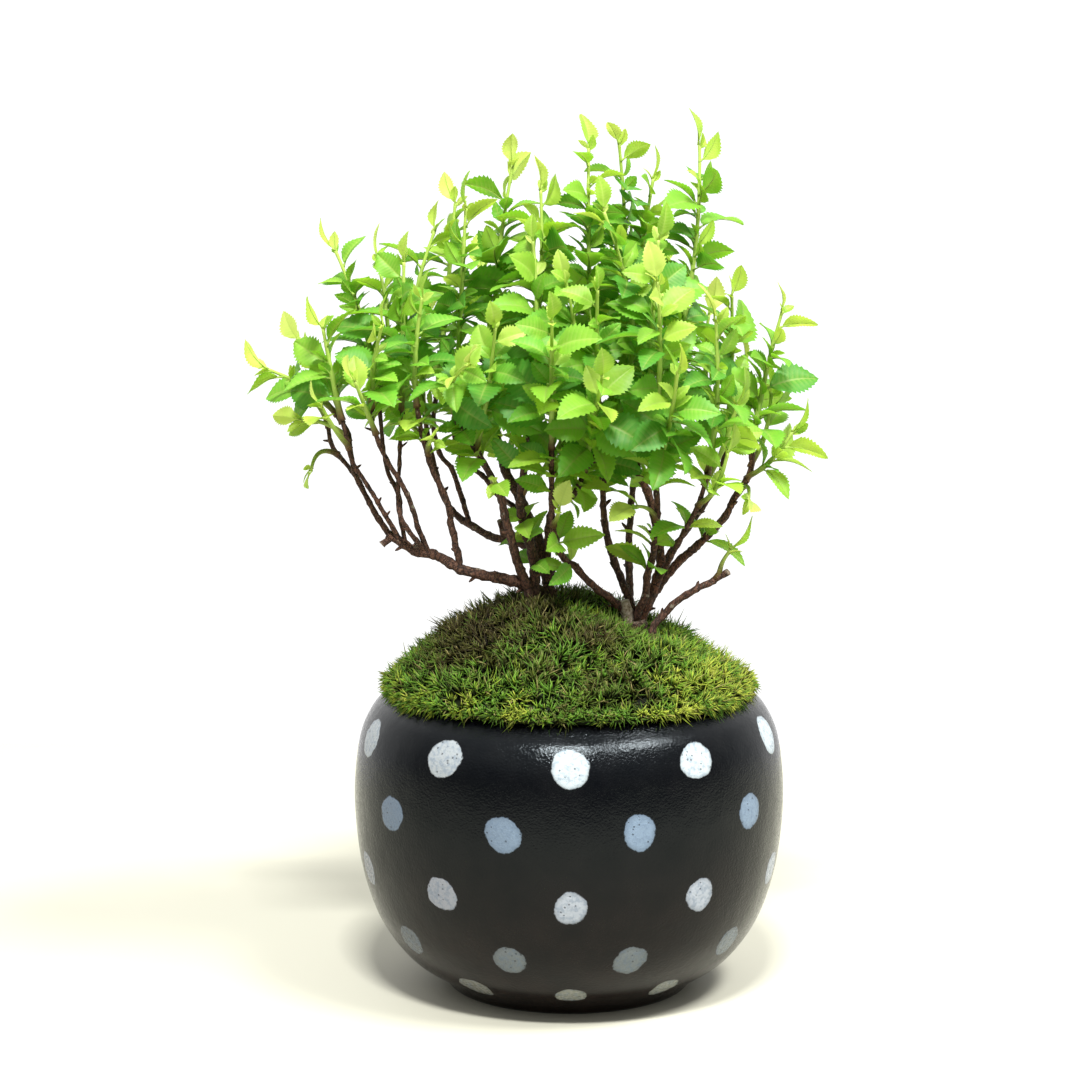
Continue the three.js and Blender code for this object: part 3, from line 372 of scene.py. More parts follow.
# Ranges of these leaves: length, width as a share of it, degrees off the stem, degrees of roll, droop, age.
# In an axil the length and the age are shares of those of the leaf below.
AXIL_LEAF = ((0.42, 0.78), (0.46, 0.60), (30, 66), (-30, 30), (0.08, 0.18), (0.3, 0.85))
TIP_LEAF = ((3.6, 6.4), (0.40, 0.58), (22, 52), (-30, 30), (0.02, 0.02), (0, 0))
SPUR_LEAF = ((7.5, 14.0), (0.48, 0.64), (48, 88), (-35, 35), (0.12, 0.28), (0.35, 0.95))
AXIL_HEIGHT = 0.5  # how far above the leaf below it
AXIL_STRAY = 20  # degrees by which the azimuths of leaves in axils differ
AXIL_TURNS = (-38, 38, -70, 70, 180, -100, 100)
AXIL_CHANCE = (0.95, 0.75)
AXIL_RANK = 2
TIP_LEAVES = 2
TIP_BACK = 0.6  # how far below the end of the shoot the first of them grows
TIP_GAP = 0.7  # from one to the next
# Azimuths of the tip leaves in degrees: that of the first, from one to the next, by how much they differ
TIP_FIRST = 40
TIP_TURN = 120
TIP_STRAY = 60
SPUR_STEP = 4.6  # distance between leafy spurs along the old wood
SPUR_LEAVES = 3
SPUR_TURN = 110  # degrees from one leaf of a spur to the next
SPUR_TURNS = (0, 40, -40, 80, -80, 130, -130, 180)
STEEP_ENOUGH = 0.3  # a stem that lies flatter has no leafy spurs
# Spurs lower down: how far along their stems
LOW_SPURS = {
    "wood_left": {"front_trunk": [0.36, 0.46, 0.55]},
    "wood_right": {"low_left": [0.40, 0.52], "front_stem": [0.30, 0.42], "right_stem": [0.52],
                   "right_front": [0.55]},
}
# Where the numbers of the spurs start, past those of the shoots
LOW_SPUR_NUMBER = 300
HIGH_SPUR_NUMBER = 200
# First of the draws that each kind of leaf uses, which keeps their draws apart
BETWEEN_USE = 100
AXIL_USE = 20
AXIL_CHANCE_USE = 50
TIP_USE = 60
SPUR_USE = 210
HUE_USE = 80
SPIRAL_USE = 9


# Plain helpers


def mix(a, b, share):
    return a + (b - a) * share


def rising(value, start, end):
    """From 0 at start to 1 at end, and level on both sides."""
    return np.clip((value - start) / (end - start), 0, 1)


def unit(vector):
    return vector / np.linalg.norm(vector)


def units(vectors):
    return vectors / np.linalg.norm(vectors, axis=1)[:, None]


def turns(count):
    """Angles of so many places round a circle."""
    return 2 * math.pi * np.arange(count) / count


def polar(radius, angle, height=0.0):
    """Places from their distance to the axis, their angle and their height."""
    return np.stack(np.broadcast_arrays(radius * np.cos(angle), radius * np.sin(angle), height), axis=-1)


def ripple(places, size, seed):
    """Smooth noise from -1 to 1 at places, with bumps of about the given size."""
    draw = np.random.default_rng(seed)
    waves = draw.normal(size=(3, 7)) * math.pi / size
    return np.sin(np.asarray(places) @ waves + draw.uniform(0, 2 * math.pi, 7)).mean(axis=-1) * 1.7


def spot(places, x, y, spread):
    """From 1 at a place on the ground plan to 0 away from it."""
    return np.exp(-((places[:, 0] - x) ** 2 + (places[:, 1] - y) ** 2) / spread)


def smooth_path(points, step):
    """A smooth line through points, with a place about every step."""
    points = np.asarray(points, float)
    padded = np.vstack([2 * points[0] - points[1], points, 2 * points[-1] - points[-2]])
    places = []
    for a, b, c, d in zip(padded, padded[1:], padded[2:], padded[3:]):
        count = max(1, math.ceil(np.linalg.norm(c - b) / step))
        for t in np.arange(count) / count:
            places.append(0.5 * (2 * b + (c - a) * t + (2 * a - 5 * b + 4 * c - d) * t * t
                                 + (3 * b - a - 3 * c + d) * t ** 3))
    return np.array(places + [points[-1]])


def across(tangent):
    """Two directions across a stem that runs along tangent."""
    guide = BACKWARDS if abs(tangent[0]) > 0.9 else SIDEWAYS
    first = unit(guide - guide.dot(tangent) * tangent)
    return first, np.cross(tangent, first)


class Skin:
    """Gathers the corners, faces and marks of one mesh."""

    def __init__(self, *marks):
        self.places = []
        self.quads = []
        self.triangles = []
        self.marks = {mark: [] for mark in marks}
        self.count = 0

    def add(self, places, quads, triangles, **marks):
        self.places.append(np.asarray(places, float))
        self.quads.append(np.asarray(quads, np.int64).reshape(-1, 4) + self.count)
        self.triangles.append(np.asarray(triangles, np.int64).reshape(-1, 3) + self.count)
        for mark, values in self.marks.items():
            values.append(np.broadcast_to(np.asarray(marks[mark], float), (len(places),)))
        self.count += len(places)

    def piece(self, name, material, slot, *replaced):
        """The mesh as a piece of the object, in its place in the frame."""
        quads = np.concatenate(self.quads)
        triangles = np.concatenate(self.triangles)
        corners = np.concatenate([quads.ravel(), triangles.ravel()]).astype(np.int32)
        starts = np.concatenate([4 * np.arange(len(quads)), 4 * len(quads) + 3 * np.arange(len(triangles))])
        mesh = bpy.data.meshes.new(name)
        mesh.vertices.add(self.count)
        mesh.vertices.foreach_set("co", (np.concatenate(self.places) * MM).ravel())
        mesh.loops.add(len(corners))
        mesh.loops.foreach_set("vertex_index", corners)
        mesh.polygons.add(len(starts))
        mesh.polygons.foreach_set("loop_start", starts.astype(np.int32))
        mesh.polygons.foreach_set("use_smooth", np.ones(len(starts), bool))
        for mark, values in self.marks.items():
            attribute = mesh.attributes.new(mark, "FLOAT", "POINT")
            attribute.data.foreach_set("value", np.concatenate(values).astype(np.float32))
        mesh.materials.append(material)
        mesh.update(calc_edges=True)
        mesh.validate()
        piece = bpy.data.objects.new(name, mesh)
        bpy.context.scene.collection.objects.link(piece)
        piece.location = AXIS
        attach(piece, "root")
        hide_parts(*replaced)


def ring_faces(rings, sides):
    """Faces between rings of corners that are laid one after another."""
    ring, side = np.meshgrid(np.arange(rings - 1), np.arange(sides), indexing="ij")
    low = (ring * sides + side).ravel()
    turned = (ring * sides + (side + 1) % sides).ravel()
    return np.stack([low, turned, turned + sides, low + sides], axis=1)


def end_faces(rings, sides):
    """Faces that close a stack of rings. The middles of its foot and its end come after the rings."""
    side = np.arange(sides)
    turned = (side + 1) % sides
    last = (rings - 1) * sides
    foot = np.full(sides, rings * sides)
    return np.vstack([np.stack([foot, turned, side], axis=1),
                      np.stack([foot + 1, last + side, last + turned], axis=1)])


def tube(path, radii, sides):
    """Corners and faces of a closed tube. The radii are one for each ring, or a row of them."""
    path = np.asarray(path, float)
    radii = np.asarray(radii, float)
    if radii.ndim == 1:
        radii = np.repeat(radii[:, None], sides, axis=1)
    tangents = units(np.vstack([path[1:], path[-1:]]) - np.vstack([path[:1], path[:-1]]))
    first = across(tangents[0])[0]
    firsts = []
    for tangent in tangents:
        first = unit(first - first.dot(tangent) * tangent)
        firsts.append(first)
    firsts = np.array(firsts)
    seconds = np.cross(tangents, firsts)
    angles = turns(sides)[None, :, None]
    around = firsts[:, None] * np.cos(angles) + seconds[:, None] * np.sin(angles)
    places = (path[:, None] + radii[:, :, None] * around).reshape(-1, 3)
    return np.vstack([places, path[0], path[-1]]), ring_faces(len(path), sides), end_faces(len(path), sides)


# Materials


class Graph:
    """The nodes of a material or of the world."""

    def __init__(self, tree):
        self.tree = tree

    def add(self, kind, inputs=None, **settings):
        made = self.tree.nodes.new("ShaderNode" + kind)
        for key, value in settings.items():
            setattr(made, key, value)
        for key, value in (inputs or {}).items():
            self.put(made.inputs[key], value)
        return made

    def put(self, socket, value):
        """Links a socket to this one, or sets a plain value."""
        if isinstance(value, bpy.types.NodeSocket):
            self.tree.links.new(value, socket)
        else:
            socket.default_value = value

    def math(self, operation, first, second=0.0, third=0.0):
        return self.add("Math", {0: first, 1: second, 2: third}, operation=operation).outputs[0]

    def times(self, first, second):
        return self.math("MULTIPLY", first, second)

    def scaled(self, value, factor, shift):
        """The value times a factor, plus a shift."""
        return self.math("MULTIPLY_ADD", value, factor, shift)

    def away(self, first, second):
        """Distance from the middle, from two distances across each other."""
        return self.math("SQRT", self.scaled(first, first, self.times(second, second)))

    def step(self, value, low, high, top=1.0):
        """Rises smoothly from 0 to top as value goes from low to high."""
        inputs = {"Value": value, "From Min": low, "From Max": high, "To Max": top}
        return self.add("MapRange", inputs, interpolation_type="SMOOTHSTEP").outputs[0]


class Shader(Graph):
    """The nodes of one material."""

    def __init__(self, name, **fixed):
        self.material = bpy.data.materials.new(name)
        self.material.use_nodes = True
        super().__init__(self.material.node_tree)
        self.surface = self.tree.nodes["Principled BSDF"]
        self.output = self.tree.nodes["Material Output"]
        self.place = self.add("TexCoord").outputs["Object"]
        for key, value in fixed.items():
            self.surface.inputs[key.replace("_", " ")].default_value = value

    def mark(self, name):
        return self.add("Attribute", attribute_name=name).outputs["Fac"]

    def noise(self, size, detail=3.0, roughness=0.5):
        """Noise from 0 to 1 with bumps of about size millimetres."""
        inputs = {"Vector": self.place, "Scale": 1 / (size * MM), "Detail": detail, "Roughness": roughness}
        return self.add("TexNoise", inputs).outputs["Fac"]

    def sway(self, size, detail, reach):
        """Noise about zero that spans reach millimetres from its lowest to its highest."""
        return self.scaled(self.noise(size, detail), reach * MM, -0.5 * reach * MM)

    def cells(self, size):
        """Cells of about size millimetres: the distance from the middle of each, and a draw for each."""
        made = self.add("TexVoronoi", {"Vector": self.place, "Scale": 1 / (size * MM)})
        return made.outputs["Distance"], self.add("SeparateColor", {0: made.outputs["Color"]}).outputs[0]

    def ramp(self, factor, *stops):
        """Colour from stops of (place, red, green, blue)."""
        made = self.add("ValToRGB", {0: factor})
        elements = made.color_ramp.elements
        while len(elements) < len(stops):
            elements.new(1.0)
        for element, (place, *colour) in zip(elements, stops):
            element.position = place
            element.color = (*colour, 1.0)
        return made.outputs["Color"]

    def blend(self, factor, first, second):
        """A mix of two colours. A mix node has the sockets of its colours after those for other kinds."""
        made = self.add("Mix", data_type="RGBA")
        self.put(made.inputs[0], factor)
        for index, value in ((6, first), (7, second)):
            linked = isinstance(value, bpy.types.NodeSocket)
            self.put(made.inputs[index], value if linked else (*value, 1.0))
        return made.outputs[2]

    def bump(self, height, depth, strength=1.0, normal=None):
        """A normal from a height between 0 and 1 that stands for depth millimetres."""
        made = self.add("Bump", {"Height": height, "Distance": depth * MM, "Strength": strength})
        if normal:
            self.put(made.inputs["Normal"], normal)
        return made.outputs["Normal"]

    def finish(self, **sockets):
        for key, value in sockets.items():
            self.put(self.surface.inputs[key.replace("_", " ")], value)
        return self.material

    def let_through(self, share, colour):
        """Lets a share of the light through, in a colour."""
        through = self.add("BsdfTranslucent", {"Color": colour})
        both = self.add("MixShader", {0: share, 1: self.surface.outputs[0], 2: through.outputs[0]})
        self.put(self.output.inputs["Surface"], both.outputs[0])


def wall_slope(height):
    """Length of wall for each unit of height at a height on the pot."""
    for (r0, z0), (r1, z1) in zip(POT_OUTSIDE, POT_OUTSIDE[1:]):
        if z0 <= height <= z1:
            return math.hypot(r1 - r0, z1 - z0) / (z1 - z0)


def clay_material():
    """Near black satin clay with rows of dots painted by hand."""
    shader = Shader("dotted_clay", Specular_IOR_Level=0.17, Specular_Tint=(0.84, 0.95, 1.0, 1.0))
    stray = shader.add("TexNoise", {"Vector": shader.place, "Scale": 1 / (24 * MM), "Detail": 0.0})
    strayed = shader.add("VectorMath", {0: stray.outputs["Color"], 1: (0.5, 0.5, 0.5)}, operation="SUBTRACT")
    moved = shader.add("VectorMath", {0: strayed.outputs[0], 1: (DOT_STRAY * MM,) * 3, 2: shader.place},
                       operation="MULTIPLY_ADD")
    x, y, z = shader.add("SeparateXYZ", {0: moved.outputs[0]}).outputs
    angle = shader.math("ARCTAN2", x, shader.times(y, -1.0))
    radius = shader.away(x, y)
    wobble = shader.math("ADD", shader.sway(0.9, 3.0, 0.7), shader.sway(4.0, 1.0, 1.6))
    grain = shader.noise(0.6, 3.0)
    mottle = shader.noise(9.0, 4.0)
    black = shader.ramp(mottle, (0.3, 0.0012, 0.0015, 0.0022), (0.7, 0.0034, 0.0036, 0.0042))
    # Browner towards the bottom: a painted warm reflection of the pale floor
    brown = shader.ramp(mottle, (0.3, 0.0050, 0.0026, 0.0020), (0.7, 0.0105, 0.0058, 0.0044))
    colour = shader.blend(shader.step(z, 62 * MM, 12 * MM), black, brown)
    # Painted shade: the glaze of the dots is darkened towards the left side, away from the light
    shade_on_left = shader.step(x, -6 * MM, -34 * MM)
    painted = 0.0
    part = 2 * HALF_TURN * DEGREE
    for height, size, turn, tint in DOT_ROWS:
        nearest = shader.math("WRAP", shader.math("SUBTRACT", angle, turn * DEGREE), part / 2, -part / 2)
        rise = shader.scaled(z, wall_slope(height), -wall_slope(height) * height * MM)
        away = shader.away(shader.times(nearest, radius), rise)
        inside = shader.math("SUBTRACT", size / 2 * MM, shader.math("ADD", away, wobble))
        dot = shader.step(inside, -0.15 * MM, 0.30 * MM)
        full = shader.step(inside, 0.0, 1.6 * MM)
        glaze = shader.blend(full, [THIN_EDGE * level for level in tint], tint)
        glaze = shader.blend(shade_on_left, glaze, [share * level for share, level in zip(LEFT_SHADE_SHARE, tint)])
        colour = shader.blend(dot, colour, glaze)
        painted = shader.math("MAXIMUM", painted, dot)
    distance, gate = shader.cells(1.3)
    hole = shader.times(shader.step(distance, 0.26, 0.17), shader.step(gate, 0.62, 0.64))
    pinhole = shader.times(hole, painted)
    streak = shader.step(shader.noise(1.2, 4.0), 0.44, 0.66)
    worn = shader.times(streak, shader.times(painted, 0.42))
    colour = shader.blend(worn, colour, (0.10, 0.14, 0.20))
    colour = shader.blend(shader.times(pinhole, 0.6), colour, (0.012, 0.014, 0.02))
    speckle = shader.step(shader.noise(0.75, 2.0), 0.44, 0.58)
    roughness = shader.scaled(painted, 0.15, shader.scaled(speckle, -0.15, 0.21))
    height = shader.math("SUBTRACT", shader.scaled(painted, 0.5, grain), pinhole)
    waves = shader.bump(shader.noise(7.0, 2.0), 0.25, 0.7)
    return shader.finish(Base_Color=colour, Roughness=roughness, Normal=shader.bump(height, 0.11, 1.0, waves))


def soil_material():
    """Dark crumbs of fired clay and bark."""
    shader = Shader("potting_soil", Specular_IOR_Level=0.2)
    distance, tone = shader.cells(2.4)
    colour = shader.ramp(tone, (0.0, 0.012, 0.008, 0.005), (0.6, 0.045, 0.028, 0.016),
                         (1.0, 0.11, 0.07, 0.04))
    return shader.finish(Base_Color=colour, Roughness=shader.scaled(tone, 0.1, 0.85),
                         Normal=shader.bump(distance, 1.2, 0.9))


def moss_material(name):
    """Moss from dark dead wisps over olive and bright green to yellow green, with painted shade towards the
    foot of each needle, paler to the tips.
    """
    shader = Shader(name, Specular_IOR_Level=0.25)
    tone = shader.mark("tone")
    along = shader.mark("along")
    fresh = shader.ramp(tone, (0.0, 0.060, 0.044, 0.012), (0.25, 0.098, 0.108, 0.014),
                        (0.44, 0.112, 0.195, 0.018), (0.62, 0.115, 0.295, 0.020), (0.8, 0.260, 0.380, 0.028),
                        (1.0, 0.470, 0.520, 0.060))
    # Painted shade: the colour towards the foot of each needle, where the tuft shades it
    deep = shader.ramp(tone, (0.0, 0.006, 0.004, 0.002), (0.5, 0.006, 0.011, 0.002),
                       (1.0, 0.026, 0.035, 0.005))
    colour = shader.blend(shader.step(along, 0.25, 0.85), deep, fresh)
    tip = shader.blend(0.35, fresh, (0.66, 0.66, 0.30))
    colour = shader.blend(shader.step(along, 0.8, 1.0), colour, tip)
    colour = shader.blend(shader.mark("straw"), colour, (0.32, 0.27, 0.10))
    shader.let_through(0.3, colour)
    return shader.finish(Base_Color=colour, Roughness=shader.scaled(shader.noise(3.0), 0.2, 0.5),
                         Normal=shader.bump(shader.noise(0.6, 2.0), 0.1, 0.5))


def bark_material():
    """Dark flaking bark, redder on young stems, pale where it is cut or weathered."""
    shader = Shader("bark", Specular_IOR_Level=0.3)
    fine = shader.noise(0.8, 5.0, 0.65)
    warp = shader.times(shader.noise(1.6, 3.0), 2.2 * MM)
    bent = shader.add("VectorMath", {0: shader.place, 1: warp}, operation="ADD").outputs[0]
    drawn_out = shader.add("VectorMath", {0: bent, 1: (1.0, 1.0, 0.34)}, operation="MULTIPLY").outputs[0]
    flakes = shader.add("TexVoronoi", {"Vector": drawn_out, "Scale": 1 / MM}, feature="DISTANCE_TO_EDGE")
    cracks = shader.step(flakes.outputs["Distance"], 0.0, 0.11)
    dark = shader.ramp(fine, (0.3, 0.022, 0.011, 0.008), (0.55, 0.074, 0.038, 0.025),
                       (0.75, 0.19, 0.115, 0.080))
    red = shader.ramp(fine, (0.3, 0.050, 0.018, 0.011), (0.55, 0.140, 0.056, 0.032), (0.75, 0.27, 0.14, 0.09))
    redness = shader.times(shader.mark("red"), shader.step(shader.noise(5.0), 0.25, 0.6))
    colour = shader.blend(redness, dark, red)
    colour = shader.blend(cracks, (0.014, 0.008, 0.006), colour)
    lichen = shader.times(shader.step(shader.noise(2.2, 4.0), 0.64, 0.72), 0.55)
    colour = shader.blend(lichen, colour, (0.30, 0.27, 0.21))
    bare = shader.ramp(fine, (0.35, 0.16, 0.11, 0.07), (0.65, 0.55, 0.47, 0.36))
    colour = shader.blend(shader.mark("cut"), colour, bare)
    return shader.finish(Base_Color=colour, Roughness=shader.scaled(fine, 0.3, 0.6),
                         Normal=shader.bump(shader.scaled(cracks, 0.4, fine), 0.3, 0.9))


def leaf_material():
    """Leaves from yellow green and young to deep green, with paler ribs and stems, that let light through."""
    shader = Shader("leaf", Specular_IOR_Level=0.35)
    age = shader.mark("age")
    pale = shader.mark("pale")
    patches = shader.noise(3.0)
    ripeness = shader.scaled(age, 0.62, shader.scaled(shader.mark("hue"), 0.54, -0.04))
    ripeness = shader.math("ADD", ripeness, shader.scaled(patches, 0.3, -0.15))
    blade = shader.ramp(ripeness, (0.0, 0.52, 0.64, 0.15), (0.22, 0.38, 0.55, 0.075),
                        (0.5, 0.215, 0.44, 0.036), (0.8, 0.122, 0.36, 0.028), (1.0, 0.068, 0.26, 0.024))
    stem = shader.ramp(age, (0.0, 0.44, 0.57, 0.12), (0.6, 0.34, 0.48, 0.09), (1.0, 0.25, 0.34, 0.07))
    colour = shader.blend(shader.times(pale, 0.85), blade, stem)
    brown = shader.ramp(shader.noise(1.0), (0.3, 0.07, 0.030, 0.015), (0.7, 0.19, 0.10, 0.045))
    colour = shader.blend(shader.mark("woody"), colour, brown)
    lit = shader.add("HueSaturation", {"Hue": 0.485, "Saturation": 1.05, "Value": 1.45, "Color": colour})
    shader.let_through(shader.scaled(pale, -0.12, 0.42), lit.outputs[0])
    return shader.finish(Base_Color=colour, Roughness=shader.scaled(patches, 0.2, 0.38),
                         Normal=shader.bump(shader.noise(0.7, 2.0), 0.06, 0.5))


def floor_material():
    shader = Shader("pale_floor", Specular_IOR_Level=0.2, Roughness=0.6)
    colour = shader.ramp(shader.noise(400.0, 2.0), (0.0, 0.485, 0.475, 0.385), (1.0, 0.515, 0.505, 0.420))
    return shader.finish(Base_Color=colour)


# Stage


def put_up(name, data, place=(0, 0, 0)):
    """Data as an object of the scene, at a place about the axis of the pot."""
    thing = bpy.data.objects.new(name, data)
    thing.location = AXIS + Vector(place) * MM
    bpy.context.scene.collection.objects.link(thing)
    return thing


def make_camera():
    data = bpy.data.cameras.new("camera")
    data.sensor_width = 36.0
    data.lens = data.sensor_width / 2 / math.tan(CAMERA_VIEW / 2 * DEGREE)
    data.clip_start = 0.05
    data.clip_end = 20.0
    camera = put_up("camera", data, CAMERA_PLACE)
    camera.rotation_euler = ((90 - CAMERA_DOWN) * DEGREE, 0.0, 0.0)
    bpy.context.scene.camera = camera


def make_lamps():
    for name, place, (width, height), power in LAMPS:
        data = bpy.data.lights.new(name, "AREA")
        data.shape = "RECTANGLE"
        data.size, data.size_y = width * MM, height * MM
        data.energy = power
        towards = (Vector(LAMP_AIM) - Vector(place)).normalized()
        put_up(name, data, place).rotation_euler = towards.to_track_quat("-Z", "Y").to_euler()


def make_world():
    """A white room that is bright behind the plant and above it, and dimmer on the side of the camera."""
    world = bpy.data.worlds.new("white_room")
    world.use_nodes = True
    graph = Graph(world.node_tree)
    background = graph.tree.nodes["Background"]
    background.inputs["Color"].default_value = (1.0, 1.0, 1.0, 1.0)
    parts = graph.add("SeparateXYZ", {0: graph.add("TexCoord").outputs["Generated"]})
    behind, above = (graph.step(parts.outputs[axis], low, high, top - ROOM_FRONT)
                     for axis, low, high, top in ROOM_RISES)
    strength = graph.math("ADD", graph.math("MAXIMUM", behind, above), ROOM_FRONT)
    seen = graph.add("LightPath").outputs["Is Camera Ray"]
    graph.put(background.inputs["Strength"], graph.math("MAXIMUM", strength, seen))
    bpy.context.scene.world = world
    bpy.context.scene.view_settings.view_transform = "Standard"


def make_floor():
    corners = [(-FLOOR_SIDE, FLOOR_FRONT, 0), (FLOOR_SIDE, FLOOR_FRONT, 0),
               (FLOOR_SIDE, FLOOR_BACK, 0), (-FLOOR_SIDE, FLOOR_BACK, 0)]
    mesh = bpy.data.meshes.new("floor")
    mesh.from_pydata([Vector(corner) * MM for corner in corners], [], [(0, 1, 2, 3)])
    mesh.materials.append(floor_material())
    floor = put_up("floor", mesh)


# Pot


def make_pot():
    """The thrown pot: one profile from the drain hole out, up the wall, over the lip and down inside."""
    (foot_radius, _), *outside = POT_OUTSIDE
    edge, edge_height = OUTER_EDGE
    foot = [(DRAIN_RADIUS, FOOT_RECESS), (18, FOOT_RECESS), (FOOT_INNER_RADIUS - FOOT_EDGE, FOOT_RECESS),
            (FOOT_INNER_RADIUS, FOOT_RECESS - FOOT_EDGE), (FOOT_INNER_RADIUS, FOOT_EDGE),
            (FOOT_INNER_RADIUS + FOOT_EDGE, 0), (foot_radius - edge, 0)]
    wall = smooth_path([(foot_radius, edge_height), *outside, POT_LIP, *POT_INSIDE], POT_STEP)
    inside = [(28, FLOOR_TOP), (16, FLOOR_TOP), (DRAIN_RADIUS, FLOOR_TOP),
              (DRAIN_RADIUS, (FLOOR_TOP + FOOT_RECESS) / 2)]
    radius, height = np.vstack([foot, wall, inside]).T[:, :, None]
    angles = turns(POT_SIDES)
    wave = THROWN_WAVE * (np.sin(2 * angles + 0.7) + 0.5 * np.sin(3 * angles + height / 19))
    radius = radius - rising(height, 0, 12) * (0.5 * THROWN_WAVE + 0.5 * np.abs(wave))
    places = polar(radius, angles, height).reshape(-1, 3)
    skin = Skin()
    skin.add(places, ring_faces(len(radius) + 1, POT_SIDES) % len(places), [])
    skin.piece("thrown_pot", clay_material(), "pot", "pot")


# Moss


def soil_top(radius):
    return POT_HEIGHT + SOIL_MOUND * (1 - (radius / NECK_RADIUS) ** 2)


def moss_top(radius, angle):
    share = radius / MOSS_RADIUS
    rise = (MOSS_RISE - MOSS_EDGE) * (1 - share ** DOME_POWER)
    tilt = MOSS_TILT * share * np.cos(angle) * (1 - share ** TILT_POWER)
    return POT_HEIGHT + MOSS_EDGE + rise - tilt


def moss_base(radius, angle, places):
    """Height of the base of the needles, with the clumps of the cushion and its hollow round the stump."""
    depth = mix(*MOSS_DEPTH, rising(radius, *DEPTH_CHANGE))
    depth = depth * np.clip((MOSS_RADIUS - radius) / 6 + 0.25, 0, 1) + HOLLOW_DEPTH * spot(places, *HOLLOW)
    lumps = sum(height * ripple(places, size, seed) for height, size, seed in LUMPS)
    ground = np.maximum(soil_top(radius), POT_HEIGHT) + 2 * TOUCH_GAP
    return np.maximum(moss_top(radius, angle) - depth + lumps, ground)


def moss_tone(places, draw):
    """From 0, dead and dark, to 1, yellow green: brighter at the rim on both sides, and to the right."""
    x, y = places[:, 0], places[:, 1]
    tone = MOSS_TONE + sum(change * spot(places, *where) for *where, change in MOSS_SPOTS)
    tone += 0.26 * rising(np.hypot(x, y), 32, 46) * rising(np.abs(x), 18, 42) + 0.20 * rising(x, 2, 32)
    tone += 0.24 * ripple(places, 11.0, 5) + 0.20 * ripple(places, 4.0, 6)
    return np.clip(tone + draw.normal(0, 0.10, len(x)), 0, 1)


def make_moss_core():
    """The inside of the cushion, from the soil up to the base of the needles, dark with painted shade."""
    angles = turns(MOSS_SIDES)
    rings = [polar(radius, angles, soil_top(radius) + TOUCH_GAP) for radius in UNDERSIDE_RADII]
    rings.append(polar(MOSS_RADIUS - 2 * RIM_INSET, angles, POT_HEIGHT + TOUCH_GAP))
    for radius in np.linspace(MOSS_RADIUS - RIM_INSET, 1.5, MOSS_RINGS):
        ring = polar(radius, angles)
        ring[:, 2] = moss_base(radius, angles, ring)
        rings.append(ring)
    middles = [(0, 0, soil_top(0) + TOUCH_GAP), (0, 0, moss_top(0, 0) - MOSS_DEPTH[0])]
    places = np.vstack([*rings, *middles])
    tone = moss_tone(places, np.random.default_rng(BED_SEED))
    skin = Skin("tone", "along", "straw")
    # along 0.12 gives the bed the painted shade of the foot of the needles
    skin.add(places, ring_faces(len(rings), MOSS_SIDES), end_faces(len(rings), MOSS_SIDES),
             tone=tone, along=0.12, straw=0.0)
    skin.piece("moss_bed", moss_material("moss_bed"), "moss", "moss")


def cushion_tufts(draw):
    """Foot, direction and size of the tufts over the cushion, which lean out towards its edge."""
    index = np.arange(TUFTS) + 0.5
    angle = index * math.pi * (3 - math.sqrt(5)) + draw.normal(0, 0.02, TUFTS)
    radius = np.abs(TUFT_REACH * np.sqrt(index / TUFTS) + draw.normal(0, 0.5, TUFTS)).clip(0, TUFT_REACH)
    slope = moss_top(radius + 0.5, angle) - moss_top(np.abs(radius - 0.5), angle)
    steep = np.clip(-slope, 0, 1.3)[:, None]
    # Along the rim the tufts lean out more, most of all at both sides
    edge = rising(radius, TUFT_REACH - 6, TUFT_REACH)[:, None]
    side = np.clip(1.3 * np.cos(angle) ** 2, 0, 1)[:, None] * edge
    feet = polar(radius, angle)
    lean = np.stack([ripple(feet, 12.0, 7), ripple(feet, 12.0, 8), 0 * radius], axis=1)
    outwards = polar(1.0, angle) * (0.8 * steep + 0.3 * edge + 0.6 * side)
    axis = outwards + UP * (1 - 0.1 * edge - 0.5 * side) + lean + draw.normal(0, 0.2, (TUFTS, 3))
    feet[:, 2] = moss_base(radius, angle, feet) + draw.normal(0, 0.2, TUFTS)
    size = np.clip(1.0 + 0.25 * ripple(feet, 8.0, 9) + draw.normal(0, 0.12, TUFTS), 0.6, 1.5)
    return feet, units(axis), size * (1 - 0.4 * edge[:, 0]) * (1 - 0.4 * spot(feet, *HOLLOW))


def edge_tufts(draw):
    """Foot, direction and size of the small tufts that hang over the rim, lower at both sides."""
    outwards = polar(1.0, turns(EDGE_TUFTS))
    height = POT_HEIGHT + draw.uniform(0.8, 2.6, EDGE_TUFTS)
    feet = outwards * (MOSS_RADIUS - RIM_INSET) + UP * height[:, None]
    hang = mix(0.9, -0.25, np.clip(1.3 * outwards[:, :1] ** 2, 0, 1))
    axis = outwards + hang * UP + draw.normal(0, 0.25, (EDGE_TUFTS, 3))
    return feet, units(axis), draw.uniform(0.42, 0.62, EDGE_TUFTS)


def needle_skin(root, direction, bend, length, half_width):
    """Closed three-sided needles, each bent once and drawn out to a point."""
    middle = root + (direction * 0.55 + bend * 0.18) * length[:, None]
    tip = root + (direction * 0.95 + bend * 0.62) * length[:, None]
    first = units(np.cross(direction, UP) + 1e-3)
    second = np.cross(direction, first)
    corners = [centre + width[:, None] * (first * math.cos(angle) + second * math.sin(angle))
               for centre, width in ((root, half_width), (middle, 0.8 * half_width)) for angle in turns(3)]
    places = np.stack([*corners, tip], axis=1).reshape(-1, 3)
    start = NEEDLE_CORNERS * np.arange(len(root))[:, None]
    quads = np.concatenate([start + np.array(face) for face in ((0, 1, 4, 3), (1, 2, 5, 4), (2, 0, 3, 5))])
    triangles = np.concatenate([start + np.array(face)
                                for face in ((0, 2, 1), (3, 4, 6), (4, 5, 6), (5, 3, 6))])
    return places, quads, triangles


